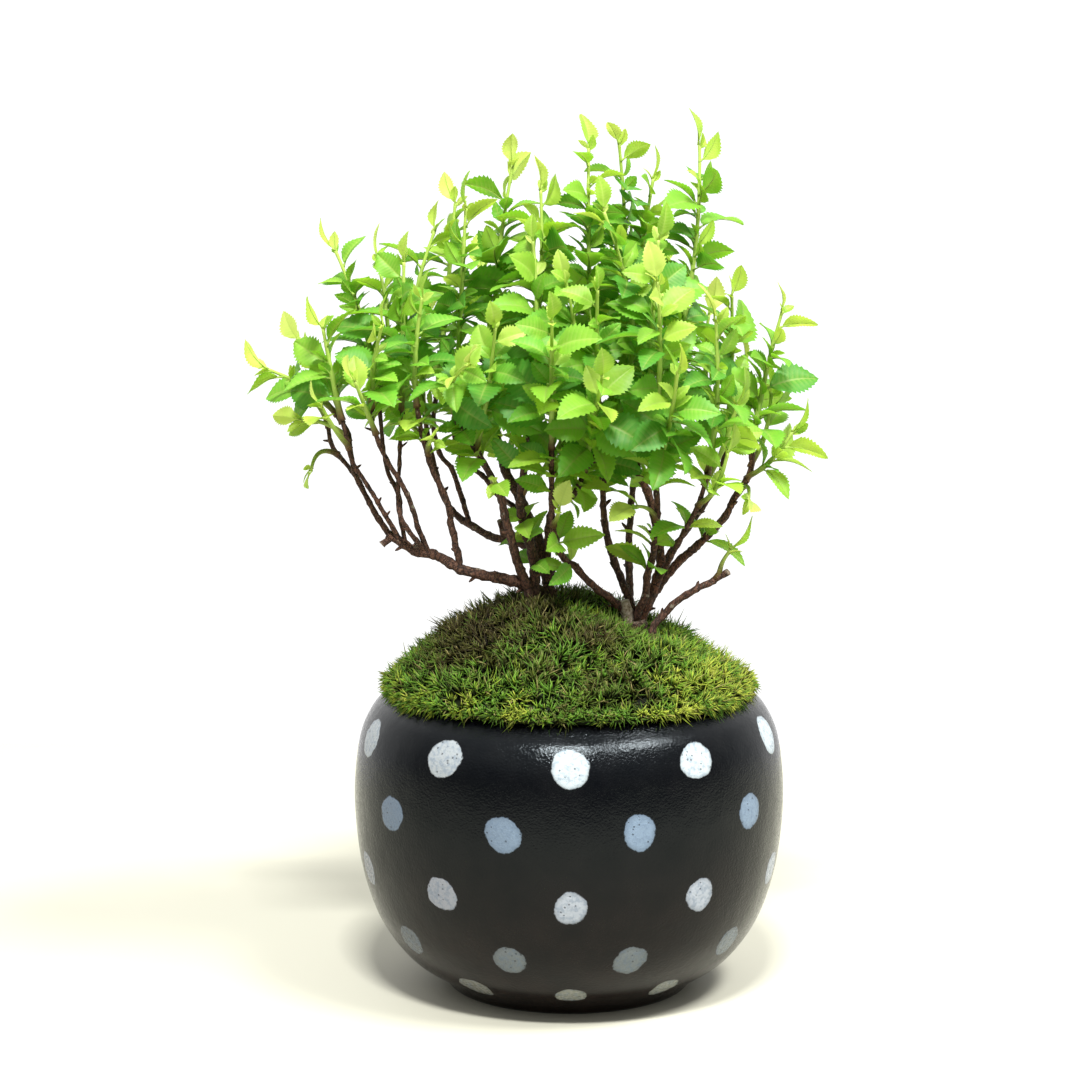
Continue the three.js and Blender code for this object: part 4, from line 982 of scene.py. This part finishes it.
def off_the_pot(places):
    """Places that hang over the rim, moved out of the shoulder of the pot."""
    places[:, 2] = np.maximum(places[:, 2], POT_HEIGHT - MOST_DROP)
    radius = np.hypot(places[:, 0], places[:, 1])
    least = POT_OUTSIDE[-1][0] + TOUCH_GAP + SHOULDER_SLOPE * (POT_HEIGHT - places[:, 2])
    over = (places[:, 2] < POT_HEIGHT) & (radius > NECK_RADIUS)
    places[:, :2] *= np.where(over, np.maximum(least / np.maximum(radius, 1), 1), 1)[:, None]
    return places


def make_moss():
    """The needles of the moss, tuft by tuft."""
    draw = np.random.default_rng(TUFT_SEED)
    feet, axes, size = (np.concatenate(both) for both in zip(cushion_tufts(draw), edge_tufts(draw)))
    tones = moss_tone(feet, draw)
    material = moss_material("moss_needles")
    for number in range(MOSS_PIECES):
        chosen = np.repeat(np.arange(number, len(feet), MOSS_PIECES), NEEDLES_PER_TUFT)
        count = len(chosen)
        axis = axes[chosen]
        first = units(np.cross(axis, UP + 0.01))
        turn = draw.uniform(0, 2 * math.pi, count)[:, None]
        lift = draw.uniform(0, 1, count)
        spread = (mix(*NEEDLE_SPREAD, lift ** 0.8) * DEGREE + draw.normal(0, 0.08, count))[:, None]
        radial = first * np.cos(turn) + np.cross(axis, first) * np.sin(turn)
        direction = axis * np.cos(spread) + radial * np.sin(spread)
        bend = 0.4 * radial - 0.2 * UP + draw.normal(0, 0.15, (count, 3))
        root = feet[chosen] + axis * (NEEDLE_LIFT * lift * size[chosen])[:, None]
        length = draw.uniform(*NEEDLE_LENGTH, count) * size[chosen] * mix(1.0, 0.72, lift)
        half_width = NEEDLE_HALF_WIDTH * draw.uniform(0.75, 1.25, count)
        places, quads, triangles = needle_skin(root, direction, bend, length, half_width)
        # along runs from foot to tip and carries the painted shade at the foot of each needle, less for
        # needles higher up the tuft
        along = np.tile([0.0, 0.0, 0.0, 0.6, 0.6, 0.6, 1.0], count)
        along = along * 0.7 + 0.3 * np.repeat(lift, NEEDLE_CORNERS) * (along > 0)
        tone = np.clip(tones[chosen] + draw.normal(0, 0.06, count), 0, 1)
        straw = (draw.uniform(0, 1, count) < STRAW_CHANCE) * draw.uniform(0.4, 1.0, count)
        skin = Skin("tone", "along", "straw")
        skin.add(off_the_pot(places), quads, triangles, tone=np.repeat(tone, NEEDLE_CORNERS), along=along,
                 straw=np.repeat(straw, NEEDLE_CORNERS))
        skin.piece(f"moss_tufts_{number + 1}", material, "moss")


# Old wood


def add_stem(skin, name, foot_radius, end_radius, points, seed):
    """One knobbly stem with its buds and short spurs."""
    draw = np.random.default_rng(seed)
    path = smooth_path(points, BARK_STEP)
    count = len(path)
    share = np.arange(count) / (count - 1)
    radius = mix(foot_radius, end_radius, share) * (THIN_SHARE if foot_radius < THIN_FOOT else THICK_SHARE)
    if name in FLARED_STEMS:
        height = path[:, 2]
        fade = np.exp(-np.maximum(height - FLARE_HEIGHT, 0) / FLARE_FADE) * (height < FLARE_END)
        radius = radius * (1 + FLARE * fade)
    knots = np.cumsum(draw.uniform(*KNOT_GAP, KNOTS))
    place = share * count * BARK_STEP
    swell = sum(np.exp(-((place - knot) / KNOT_LENGTH) ** 2) for knot in knots)
    radius = radius * (1 + KNOT_SWELL * swell)
    stray, length = BARK_WANDER
    bent = path + stray * np.stack([ripple(path, length, seed + part) for part in (1, 2, 3)], axis=1)
    bent[0], bent[-1] = path[0], path[-1]
    places, quads, triangles = tube(bent, radius, BARK_SIDES)
    ringed = places[:count * BARK_SIDES].reshape(count, BARK_SIDES, 3)
    rough = sum(depth * ripple(ringed, size, seed + part) for part, (depth, size) in enumerate(BARK_ROUGH, 4))
    ringed += (ringed - bent[:, None]) * rough[:, :, None]
    cut = np.zeros(len(places))
    if name in CUT_STEMS:
        cut[-1] = CUT_MIDDLE
        cut[(count - 1) * BARK_SIDES:count * BARK_SIDES] = CUT_RIM
    if name in PALE_STEMS:
        cut[BARK_SIDES * (count // 3):] = PALE_STEMS[name]
    red = RED_STEMS.get(name, USUAL_RED)
    skin.add(places, quads, triangles, cut=cut, red=red)
    for knot in knots:
        ring = int(knot / BARK_STEP)
        if 2 < ring < count - 4 and draw.uniform() < BUD_CHANCE:
            skin.add(*spur_tube(bent, ring, radius[ring], draw), cut=0.0, red=red)


def spur_tube(path, ring, radius, draw):
    """A bud or a short dead spur on a stem."""
    tangent = unit(path[ring + 1] - path[ring - 1])
    first, second = across(tangent)
    turn = draw.uniform(0, 2 * math.pi)
    least, more = BUD_LENGTH
    length = radius * 0.9 + least + more * draw.uniform() ** 2
    direction = unit(first * math.cos(turn) + second * math.sin(turn) + draw.uniform(0.2, 0.9) * tangent)
    reach, width = BUD_FORM.T[:, :, None]
    spur = path[ring] + direction * length * reach + 0.25 * tangent * reach ** 2
    return tube(spur, BUD_RADIUS * min(radius, 1) * width[:, 0], BUD_SIDES)


def make_wood():
    material = bark_material()
    seed = WOOD_SEED
    for piece, stems in WOOD.items():
        skin = Skin("cut", "red")
        for name, (foot_radius, end_radius, points) in stems.items():
            add_stem(skin, name, foot_radius, end_radius, points, seed)
            seed += SEEDS_PER_STEM
        skin.piece(piece.replace("wood", "bark"), material, "bark", piece)


# Where the green shoots run, by the same rule as the solids


def chance(shoot, leaf, use):
    """A repeatable draw from 0 to 1 for one leaf of one shoot."""
    word = 0xFFFFFFFF
    n = (((shoot + 1) * 73856093) ^ ((leaf + 1) * 19349663) ^ ((use + SEED) * 83492791)) & word
    for _ in range(3):
        n = (n ^ (n << 13)) & word
        n = n ^ (n >> 17)
        n = (n ^ (n << 5)) & word
        n = (n * 1664525 + 1013904223) & word
    return n / 4294967296


def length_of(points):
    return float(np.linalg.norm(np.diff(points, axis=0), axis=1).sum())


def along(points, distance):
    """Place and direction at a distance along a line."""
    left = distance
    for i in range(len(points) - 1):
        span = np.linalg.norm(points[i + 1] - points[i])
        tangent = (points[i + 1] - points[i]) / span
        if left <= span or i + 2 == len(points):
            return points[i] + tangent * left, tangent
        left -= span


def rows_of(table):
    """The rows of a table that is set out by pieces of wood and their stems."""
    return [(piece, name, row)
            for piece, stems in table.items() for name, rows in stems.items() for row in rows]


def on_wood(piece, stem_name, share):
    """Place, direction and radius at a share of the length of a stem of old wood."""
    foot_radius, end_radius, points = WOOD[piece][stem_name]
    return *along(points, length_of(points) * share), mix(foot_radius, end_radius, share)


def dots_of(points, foot_radius, end_radius, owner):
    """Dots of a stem, close together, used to keep stems and leaves apart."""
    total = length_of(points)
    count = math.ceil(total / DOT_STEP)
    places = np.array([along(points, total * i / count)[0] for i in range(count + 1)])
    radii = mix(foot_radius, end_radius, np.arange(count + 1) / count)
    return places, radii, np.full(count + 1, owner)


def joined(dots):
    return [np.concatenate(parts) for parts in zip(*dots)]


def shoot_start(seat, share, tip):
    """Foot and first direction of a shoot."""
    point, tangent, radius = seat
    if share == 1:
        start = unit(mix(tangent, unit(tip - point), START_TURN))
        return point + start * (TOUCH_GAP + 0.5 * radius), start
    outwards = tip - point
    start = unit(unit(outwards - outwards.dot(tangent) * tangent) + tangent)
    return point + start * (math.sqrt(2) * (radius + TOUCH_GAP) + SHOOT_FOOT_RADIUS), start


def curve_from(foot, start, leaf_tip, shift):
    """The three points that a shoot's curve is drawn from, and its number of steps."""
    whole = np.linalg.norm(leaf_tip - foot)
    reach = max(whole - END_LEAF_REACH, LEAST_STEM * whole)
    tip = mix(foot, leaf_tip, reach / whole)
    middle = foot + start * SHOOT_BOW * reach + shift
    return (foot, middle, tip), max(2, math.floor(reach / SHOOT_STEP + 0.5))


def curve_points(corners, steps):
    t = (np.arange(steps + 1) / steps)[:, None]
    foot, middle, tip = corners
    return (1 - t) ** 2 * foot + 2 * (1 - t) * t * middle + t ** 2 * tip


def clear_of(points, dots):
    """Whether a shoot keeps away from the other stems."""
    places, radii, _ = dots_of(points, SHOOT_FOOT_RADIUS, SHOOT_TIP_RADIUS, WOOD_OWNER)
    others, other_radii, _ = dots
    gaps = np.linalg.norm(places[FOOT_DOTS:, None] - others[None], axis=2)
    return bool((gaps > radii[FOOT_DOTS:, None] + other_radii[None] + SHOOT_ROOM).all())


def grow_stems():
    """The route of each shoot, clear of the wood and of the shoots before it."""
    dots = [dots_of(points, foot, end, WOOD_OWNER)
            for stems in WOOD.values() for foot, end, points in stems.values()]
    bends = [polar(size, angle) for size in BENDS for angle in turns(BEND_TURNS)]
    stems = []
    for index, (piece, name, (share, *tip)) in enumerate(rows_of(SHOOTS)):
        seat = on_wood(piece, name, share)
        tip = np.array(tip, float)
        foot, start = shoot_start(seat, share, tip)
        taken = joined(dots)
        for shift in [np.zeros(3), *bends]:
            corners, steps = curve_from(foot, start, tip, shift)
            route = curve_points(corners, steps)
            if clear_of(route, taken):
                break
        dots.append(dots_of(route, SHOOT_FOOT_RADIUS, SHOOT_TIP_RADIUS, index))
        stems.append({"route": route, "corners": corners, "seat": seat})
    return stems, joined(dots)


# Where the leaves sit, by the same rule as the solids


def width_at(share):
    """Half width of the blade as a share of its full half width, at a share of its length."""
    share = np.asarray(share, float)
    q = np.clip((share - PETIOLE) / (1 - PETIOLE), 0, 1)
    blade = np.maximum(np.sin(math.pi * q ** BLADE_LEAN), 0) ** BLADE_FULLNESS
    return np.where(share <= PETIOLE, STALK_WIDTH, blade)


class Leaf:
    """One leaf: where it grows, which way it points and how large it is. Angles are in degrees."""

    def __init__(self, shoot, rank, seat, size, angle, azimuth, roll, droop, age, owner=None):
        self.foot, self.tangent = seat
        self.length, self.half_width = size
        self.shoot, self.rank, self.azimuth, self.droop, self.age = shoot, rank, azimuth, droop, age
        self.owner = shoot if owner is None else owner
        first, second = across(self.tangent)
        radial = first * math.cos(azimuth * DEGREE) + second * math.sin(azimuth * DEGREE)
        self.forward = self.tangent * math.cos(angle * DEGREE) + radial * math.sin(angle * DEGREE)
        outwards = unit(np.array((self.foot[0] - CROWN_AXIS[0], self.foot[1] - CROWN_AXIS[1], 0.0)))
        light = UP * LIGHT_FROM_ABOVE + outwards * LIGHT_FROM_OUTSIDE + self.tangent * LIGHT_ALONG_STEM
        light = unit(light - light.dot(self.forward) * self.forward)
        level = np.cross(light, self.forward)
        self.normal = light * math.cos(roll * DEGREE) + level * math.sin(roll * DEGREE)
        self.lateral = np.cross(self.normal, self.forward)
        self.middle = self.foot + self.forward * 0.5 * self.length
        shares, sides = (grid.ravel() for grid in np.meshgrid(PROBE_SHARES, PROBE_SIDES, indexing="ij"))
        self.probes = self.place(shares, sides * width_at(shares) * self.half_width)

    def rise(self, share, lateral):
        """How far the blade stands off the line from its foot along its direction."""
        bow = self.length * (LEAF_ARCH * np.sin(math.pi * share) - self.droop * share * share)
        return bow + LEAF_FOLD * np.abs(lateral)

    def place(self, share, lateral, lift=0.0):
        """A place on the blade, at a share of its length and a distance from its rib."""
        rise = self.rise(share, lateral) + lift
        return (self.foot + self.forward * (self.length * share)[..., None]
                + self.normal * rise[..., None] + self.lateral * lateral[..., None])

    def touched_by(self, points, depth, reach, from_share):
        offset = points - self.foot
        share = offset @ self.forward / self.length
        lateral = offset @ self.lateral
        inside = np.minimum(share, 1)
        height = offset @ self.normal - self.rise(inside, lateral)
        near = (share >= from_share) & (share <= 1 + reach / self.length)
        near &= np.abs(lateral) <= width_at(inside) * self.half_width + reach
        return bool((near & (np.abs(height) < depth)).any())


def back_of(rank):
    """How far from the end of the shoot a leaf grows: closer together near the tip."""
    return LEAF_SPACING * rank * mix(TIP_SPACING, 1, min(1, rank / TIP_RANKS))


def shoot_leaf(shoot, rank, stem, back, use, turn, share=1.0):
    """A leaf of a shoot, a distance back from the end of its stem. Its draws start at a use of their own."""
    age = min(back / FULL_AGE, 1)

    def stray(number, spread):
        return spread * (2 * chance(shoot, rank, use + number) - 1)

    length = mix(*LEAF_LENGTH, age) * (1 + stray(1, LENGTH_SPREAD)) * share
    half_width = 0.5 * length * (mix(*LEAF_WIDTH, age) + stray(2, WIDTH_SPREAD))
    angle = mix(*LEAF_ANGLE, age) + stray(3, ANGLE_SPREAD)
    if back == 0:
        angle = END_LEAF_ANGLE * chance(shoot, rank, use + 3)
    azimuth = SPIRAL * rank + 360 * chance(shoot, 0, SPIRAL_USE) + stray(4, AZIMUTH_SPREAD) + turn
    droop = mix(*LEAF_DROOP, age) + DROOP_SPREAD * chance(shoot, rank, use + 6)
    seat = along(stem, length_of(stem) - back)
    return Leaf(shoot, rank, seat, (length, half_width), angle, azimuth, stray(5, ROLL_SPREAD), droop, age)


class Crown:
    """The leaves that have found a place, among the stems."""

    def __init__(self, dots):
        self.dots = dots
        self.leaves = []
        self.middles = np.zeros((MOST_LEAVES, 3))
        self.lengths = np.zeros(MOST_LEAVES)

    def add(self, leaf):
        self.middles[len(self.leaves)] = leaf.middle
        self.lengths[len(self.leaves)] = leaf.length
        self.leaves.append(leaf)

    def fits(self, leaf, room):
        places, radii, owners = self.dots
        near = np.linalg.norm(places - leaf.middle, axis=1) < NEAR_SHARE * leaf.length + radii + STEM_ROOM
        for own, from_share in ((True, OWN_STEM_FROM), (False, OTHER_STEM_FROM)):
            chosen = near & ((owners == leaf.owner) == own)
            radius = radii[chosen]
            rooms = (radius + room * STEM_ROOM, radius + room * EDGE_ROOM, from_share)
            if leaf.touched_by(places[chosen], *rooms):
                return False
        count = len(self.leaves)
        away = np.linalg.norm(self.middles[:count] - leaf.middle, axis=1)
        reach = NEAR_SHARE * (leaf.length + self.lengths[:count]) + EDGE_ROOM
        for index in np.flatnonzero(away < reach):
            other = self.leaves[index]
            from_share = OWN_LEAF_FROM if other.shoot == leaf.shoot else OTHER_LEAF_FROM
            rooms = (room * FACE_ROOM, room * EDGE_ROOM, from_share)
            if other.touched_by(leaf.probes, *rooms) or leaf.touched_by(other.probes, *rooms):
                return False
        return True

    def grow(self, tries, room=MORE_ROOM):
        """Adds the first of some leaves that has room."""
        for leaf in tries:
            if self.fits(leaf, room):
                self.add(leaf)
                return


def leaf_ranks(stem):
    ranks = []
    while back_of(len(ranks)) < length_of(stem) - BARE_FOOT:
        ranks.append(len(ranks))
    return ranks


def grow_leaves(crown, routes):
    """Leaves are laid from the tips down, over all shoots at once, and one with no free place is left out."""
    ranks = [len(leaf_ranks(route)) for route in routes]
    for rank in range(max(ranks)):
        for shoot, route in enumerate(routes):
            if rank < ranks[shoot]:
                tries = (shoot_leaf(shoot, rank, route, back_of(rank), 0, turn) for turn in LEAF_TURNS)
                crown.grow(tries, 1.0)


# Leaves that only the fine shape has


def between_leaves(crown, routes):
    """Leaves half way between those of the solids."""
    for shoot, route in enumerate(routes):
        for rank in leaf_ranks(route)[BETWEEN_RANK:]:
            back = 0.5 * (back_of(rank) + back_of(rank + 1))
            share = mix(*BETWEEN_SIZE, chance(shoot, rank, BETWEEN_USE))
            if back < length_of(route) - 0.5 * BARE_FOOT:
                crown.grow(shoot_leaf(shoot, rank, route, back, BETWEEN_USE, turn, share)
                           for turn in BETWEEN_TURNS)


def drawn(ranges, shoot, rank, uses):
    """A value from each range, by the draw that it uses."""
    return [mix(low, high, chance(shoot, rank, use)) for (low, high), use in zip(ranges, uses)]


def spur_floor(point):
    """Height from which the old wood has leaves."""
    return 134 + 0.45 * abs(point[0] - 8) + 0.1 * point[1]


def spur_seats():
    """Where leaves grow on the old wood: number, first rank, seat and azimuth of each spur."""
    for number, row in enumerate(rows_of(LOW_SPURS)):
        azimuth = 360 * chance(number, 0, LOW_SPUR_NUMBER)
        yield LOW_SPUR_NUMBER + number, 0, on_wood(*row), azimuth
    stems = [(piece, name, points) for piece, stems in WOOD.items() for name, (*_, points) in stems.items()]
    for number, (piece, name, points) in enumerate(stems, 1):
        whole = length_of(points)
        for spur in range(int(whole / SPUR_STEP)):
            seat = on_wood(piece, name, SPUR_STEP * (spur + 0.5) / whole)
            point, tangent, _ = seat
            if point[2] >= spur_floor(point) and tangent[2] >= STEEP_ENOUGH:
                azimuth = 360 * chance(number, spur, HIGH_SPUR_NUMBER)
                yield HIGH_SPUR_NUMBER + number, 10 * spur, seat, azimuth


def spur_leaf(number, rank, seat, azimuth):
    point, tangent, radius = seat
    uses = range(SPUR_USE, SPUR_USE + 6)
    length, width, angle, roll, droop, age = drawn(SPUR_LEAF, number, rank, uses)
    size = (length + radius, 0.5 * length * width)
    return Leaf(number, rank, (point, tangent), size, angle, azimuth, roll, droop, age, WOOD_OWNER)


def spur_leaves(crown):
    """Leaves in small clusters on the old wood, up in the crown and at a few places below it."""
    for number, rank, seat, azimuth in spur_seats():
        for leaf in range(SPUR_LEAVES):
            crown.grow(spur_leaf(number, rank + leaf, seat, azimuth + SPUR_TURN * leaf + turn)
                       for turn in SPUR_TURNS)


def axil_leaf(parent, number, turn):
    first = AXIL_USE + 10 * number
    uses = [first + use for use in (0, 1, 2, 4, 1, 5)]
    length, width, angle, roll, droop, age = drawn(AXIL_LEAF, parent.shoot, parent.rank, uses)
    length *= parent.length
    azimuth = parent.azimuth + turn + AXIL_STRAY * (chance(parent.shoot, parent.rank, first + 3) - 0.5)
    seat = (parent.foot + parent.tangent * AXIL_HEIGHT, parent.tangent)
    return Leaf(parent.shoot, parent.rank, seat, (length, 0.5 * length * width), angle, azimuth, roll, droop,
                age * parent.age, parent.owner)


def axil_leaves(crown):
    parents = [leaf for leaf in crown.leaves if leaf.rank >= AXIL_RANK]
    for number, likely in enumerate(AXIL_CHANCE):
        for parent in parents:
            if chance(parent.shoot, parent.rank, AXIL_CHANCE_USE + number) < likely:
                crown.grow(axil_leaf(parent, number, turn) for turn in AXIL_TURNS[number:])


def tip_leaves(crown, routes):
    """Tiny leaves that are just opening round the tip of each shoot."""
    for shoot, route in enumerate(routes):
        point, tangent = along(route, length_of(route) - TIP_BACK)
        for number in range(TIP_LEAVES):
            uses = [TIP_USE + use for use in (0, 1, 3, 4, 0, 0)]
            length, width, angle, roll, droop, age = drawn(TIP_LEAF, shoot, number, uses)
            spiral = 360 * chance(shoot, 0, SPIRAL_USE)
            azimuth = TIP_TURN * number + TIP_STRAY * chance(shoot, number, TIP_USE + 2) + spiral + TIP_FIRST
            seat = (point - tangent * TIP_GAP * number, tangent)
            size = (length, 0.5 * length * width)
            crown.add(Leaf(shoot, 0, seat, size, angle, azimuth, roll, droop, age))


# Fine shape of stems and leaves


def tooth_stations(teeth):
    """Lines across the blade, at notches and teeth: share of the length, reach of the edge, on a vein."""
    span = (TOOTH_END - TOOTH_START) / teeth
    stations = [(PETIOLE, 1.0, 0), (0.5 * (PETIOLE + TOOTH_START), 1.0, 1)]
    for tooth in range(teeth):
        notch = TOOTH_START + span * tooth
        # The first two teeth are smaller
        depth = TOOTH_DEPTH * min(1.0, 0.5 + 0.25 * tooth)
        stations += [(notch, 1 - depth, 0), (notch + TOOTH_LEAN * span, 1 + depth, 1)]
    stations += [(TOOTH_END, 0.82, 0), (0.995, 1.0, 1)]
    return np.array(stations)


def both_sides(rows):
    return np.array([-row for row in rows[:0:-1]] + list(rows), float)


GROWN_BLADE = (tooth_stations(GROWN_TEETH), both_sides(BLADE_ROWS))
YOUNG_BLADE = (tooth_stations(YOUNG_TEETH), both_sides(BLADE_ROWS))
SMALL_BLADE = (tooth_stations(SMALL_TEETH), both_sides(SMALL_ROWS))


def add_blade(skin, leaf):
    """The toothed blade, hollowed along its rib and its side veins and raised between them."""
    blade = GROWN_BLADE if leaf.length > GROWN_LENGTH else YOUNG_BLADE
    stations, columns = SMALL_BLADE if leaf.length < SMALL_LENGTH else blade
    edge, reach, vein = stations.T[:, :, None]
    column = columns[None]
    away = np.abs(column)
    q = (edge - PETIOLE) / (1 - PETIOLE)
    rib = PETIOLE + (1 - PETIOLE) * q ** VEIN_SLANT
    share = rib + (edge - rib) * away
    lateral = column * width_at(edge) * leaf.half_width * (1 + (reach - 1) * away ** 2)
    groove, groove_width = RIB_GROOVE
    raised = (1 - vein) * np.sin(math.pi * away) - groove * rising(away, groove_width, 0) * (q > 0.02)
    lengthwise, crosswise = RIPPLES
    phase = RIPPLE_TURN * chance(leaf.shoot, leaf.rank, HUE_USE + 1)
    waves = np.sin(phase + lengthwise * share + crosswise * column) * away ** 2
    places = leaf.place(share, lateral, leaf.length * (QUILT * raised + RIPPLED_EDGE * waves))
    rows, columns = places.shape[:2]
    row, col = np.meshgrid(np.arange(rows - 1), np.arange(columns - 1), indexing="ij")
    low = (row * columns + col).ravel()
    quads = np.stack([low, low + columns, low + columns + 1, low + 1], axis=1)
    level, width = PALE_RIB
    pale = np.maximum(level * rising(away, width, 0), PALE_VEIN * vein * (1 - away) * (away > 0.05))
    hue = chance(leaf.shoot, leaf.rank, HUE_USE + int(10 * leaf.length))
    skin.add(places.reshape(-1, 3), quads, [], age=leaf.age, hue=hue, pale=pale.ravel(), woody=0.0)


def add_rib(skin, leaf):
    """The stalk of the leaf and the rib that runs on from it under the blade."""
    share, radius = RIB.T
    radius = radius * (0.55 + 0.45 * leaf.length / LEAF_LENGTH[1])
    centre = leaf.place(share, 0 * share, -0.75 * radius - 0.25 * QUILT * leaf.length * (share > 0.1))
    skin.add(*tube(centre, radius, 3 if leaf.length < SMALL_LENGTH else 4),
             age=leaf.age, hue=0.5, pale=1.0, woody=0.0)


def add_green_stem(skin, shoot, leaves):
    """The stem from the wood up to the tip: a collar at its foot and a swelling at each leaf."""
    seat, tangent, _ = shoot["seat"]
    fine = curve_points(shoot["corners"], max(4, round(length_of(shoot["route"]) / STEM_STEP)))
    path = np.vstack([seat - STEM_SINK * tangent, mix(seat, fine[0], 0.45), fine])
    place = np.concatenate([[0], np.cumsum(np.linalg.norm(np.diff(path, axis=0), axis=1))])
    share = place / place[-1]
    wider, length = COLLAR
    radius = mix(*STEM_RADIUS, share) + wider * np.exp(-place / length)
    swell, length = NODE_SWELL
    for leaf in leaves:
        nearest = np.linalg.norm(path - leaf.foot, axis=1)
        radius = radius * (1 + swell * np.exp(-(nearest / length) ** 2))
    ridged = radius[:, None] * (1 + RIDGE_DEPTH * np.cos(STEM_RIDGES * turns(STEM_SIDES)))
    woody, ripe = (np.append(np.repeat(values, STEM_SIDES), [values[0], values[-1]])
                   for values in (np.exp(-(place / WOODY_LENGTH) ** 2), mix(*STEM_RIPENESS, share)))
    skin.add(*tube(path, ridged, STEM_SIDES), age=ripe, hue=0.5, pale=1.0, woody=woody)


def make_leaves(name, leaves, material, shoot=None, *replaced):
    """Some leaves as one piece, together with the shoot that they grow on, if they have one."""
    skin = Skin("age", "hue", "pale", "woody")
    if shoot:
        add_green_stem(skin, shoot, leaves)
    for leaf in leaves:
        add_blade(skin, leaf)
        add_rib(skin, leaf)
    skin.piece(name, material, "leaf", *replaced)


def make_shoots():
    """Each green shoot with its leaves as one piece, and the leaves of the old wood as two more."""
    shoots, dots = grow_stems()
    routes = [shoot["route"] for shoot in shoots]
    crown = Crown(dots)
    grow_leaves(crown, routes)
    between_leaves(crown, routes)
    spur_leaves(crown)
    axil_leaves(crown)
    tip_leaves(crown, routes)
    material = leaf_material()
    for index, shoot in enumerate(shoots):
        own = [leaf for leaf in crown.leaves if leaf.shoot == index]
        make_leaves(f"leaves_{index + 1:02d}", own, material, shoot, f"shoot_{index + 1:02d}")
    loose = [leaf for leaf in crown.leaves if leaf.owner == WOOD_OWNER]
    left = [leaf for leaf in loose if leaf.foot[0] < MIDDLE_X]
    right = [leaf for leaf in loose if leaf.foot[0] > MIDDLE_X]
    make_leaves("spur_leaves_left", left, material)
    make_leaves("spur_leaves_right", right, material)


# The whole


def dress_soil():
    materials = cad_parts["soil"].data.materials
    materials.clear()
    materials.append(soil_material())


make_camera()
make_lamps()
make_world()
make_floor()
make_pot()
dress_soil()
make_moss_core()
make_moss()
make_wood()
make_shoots()
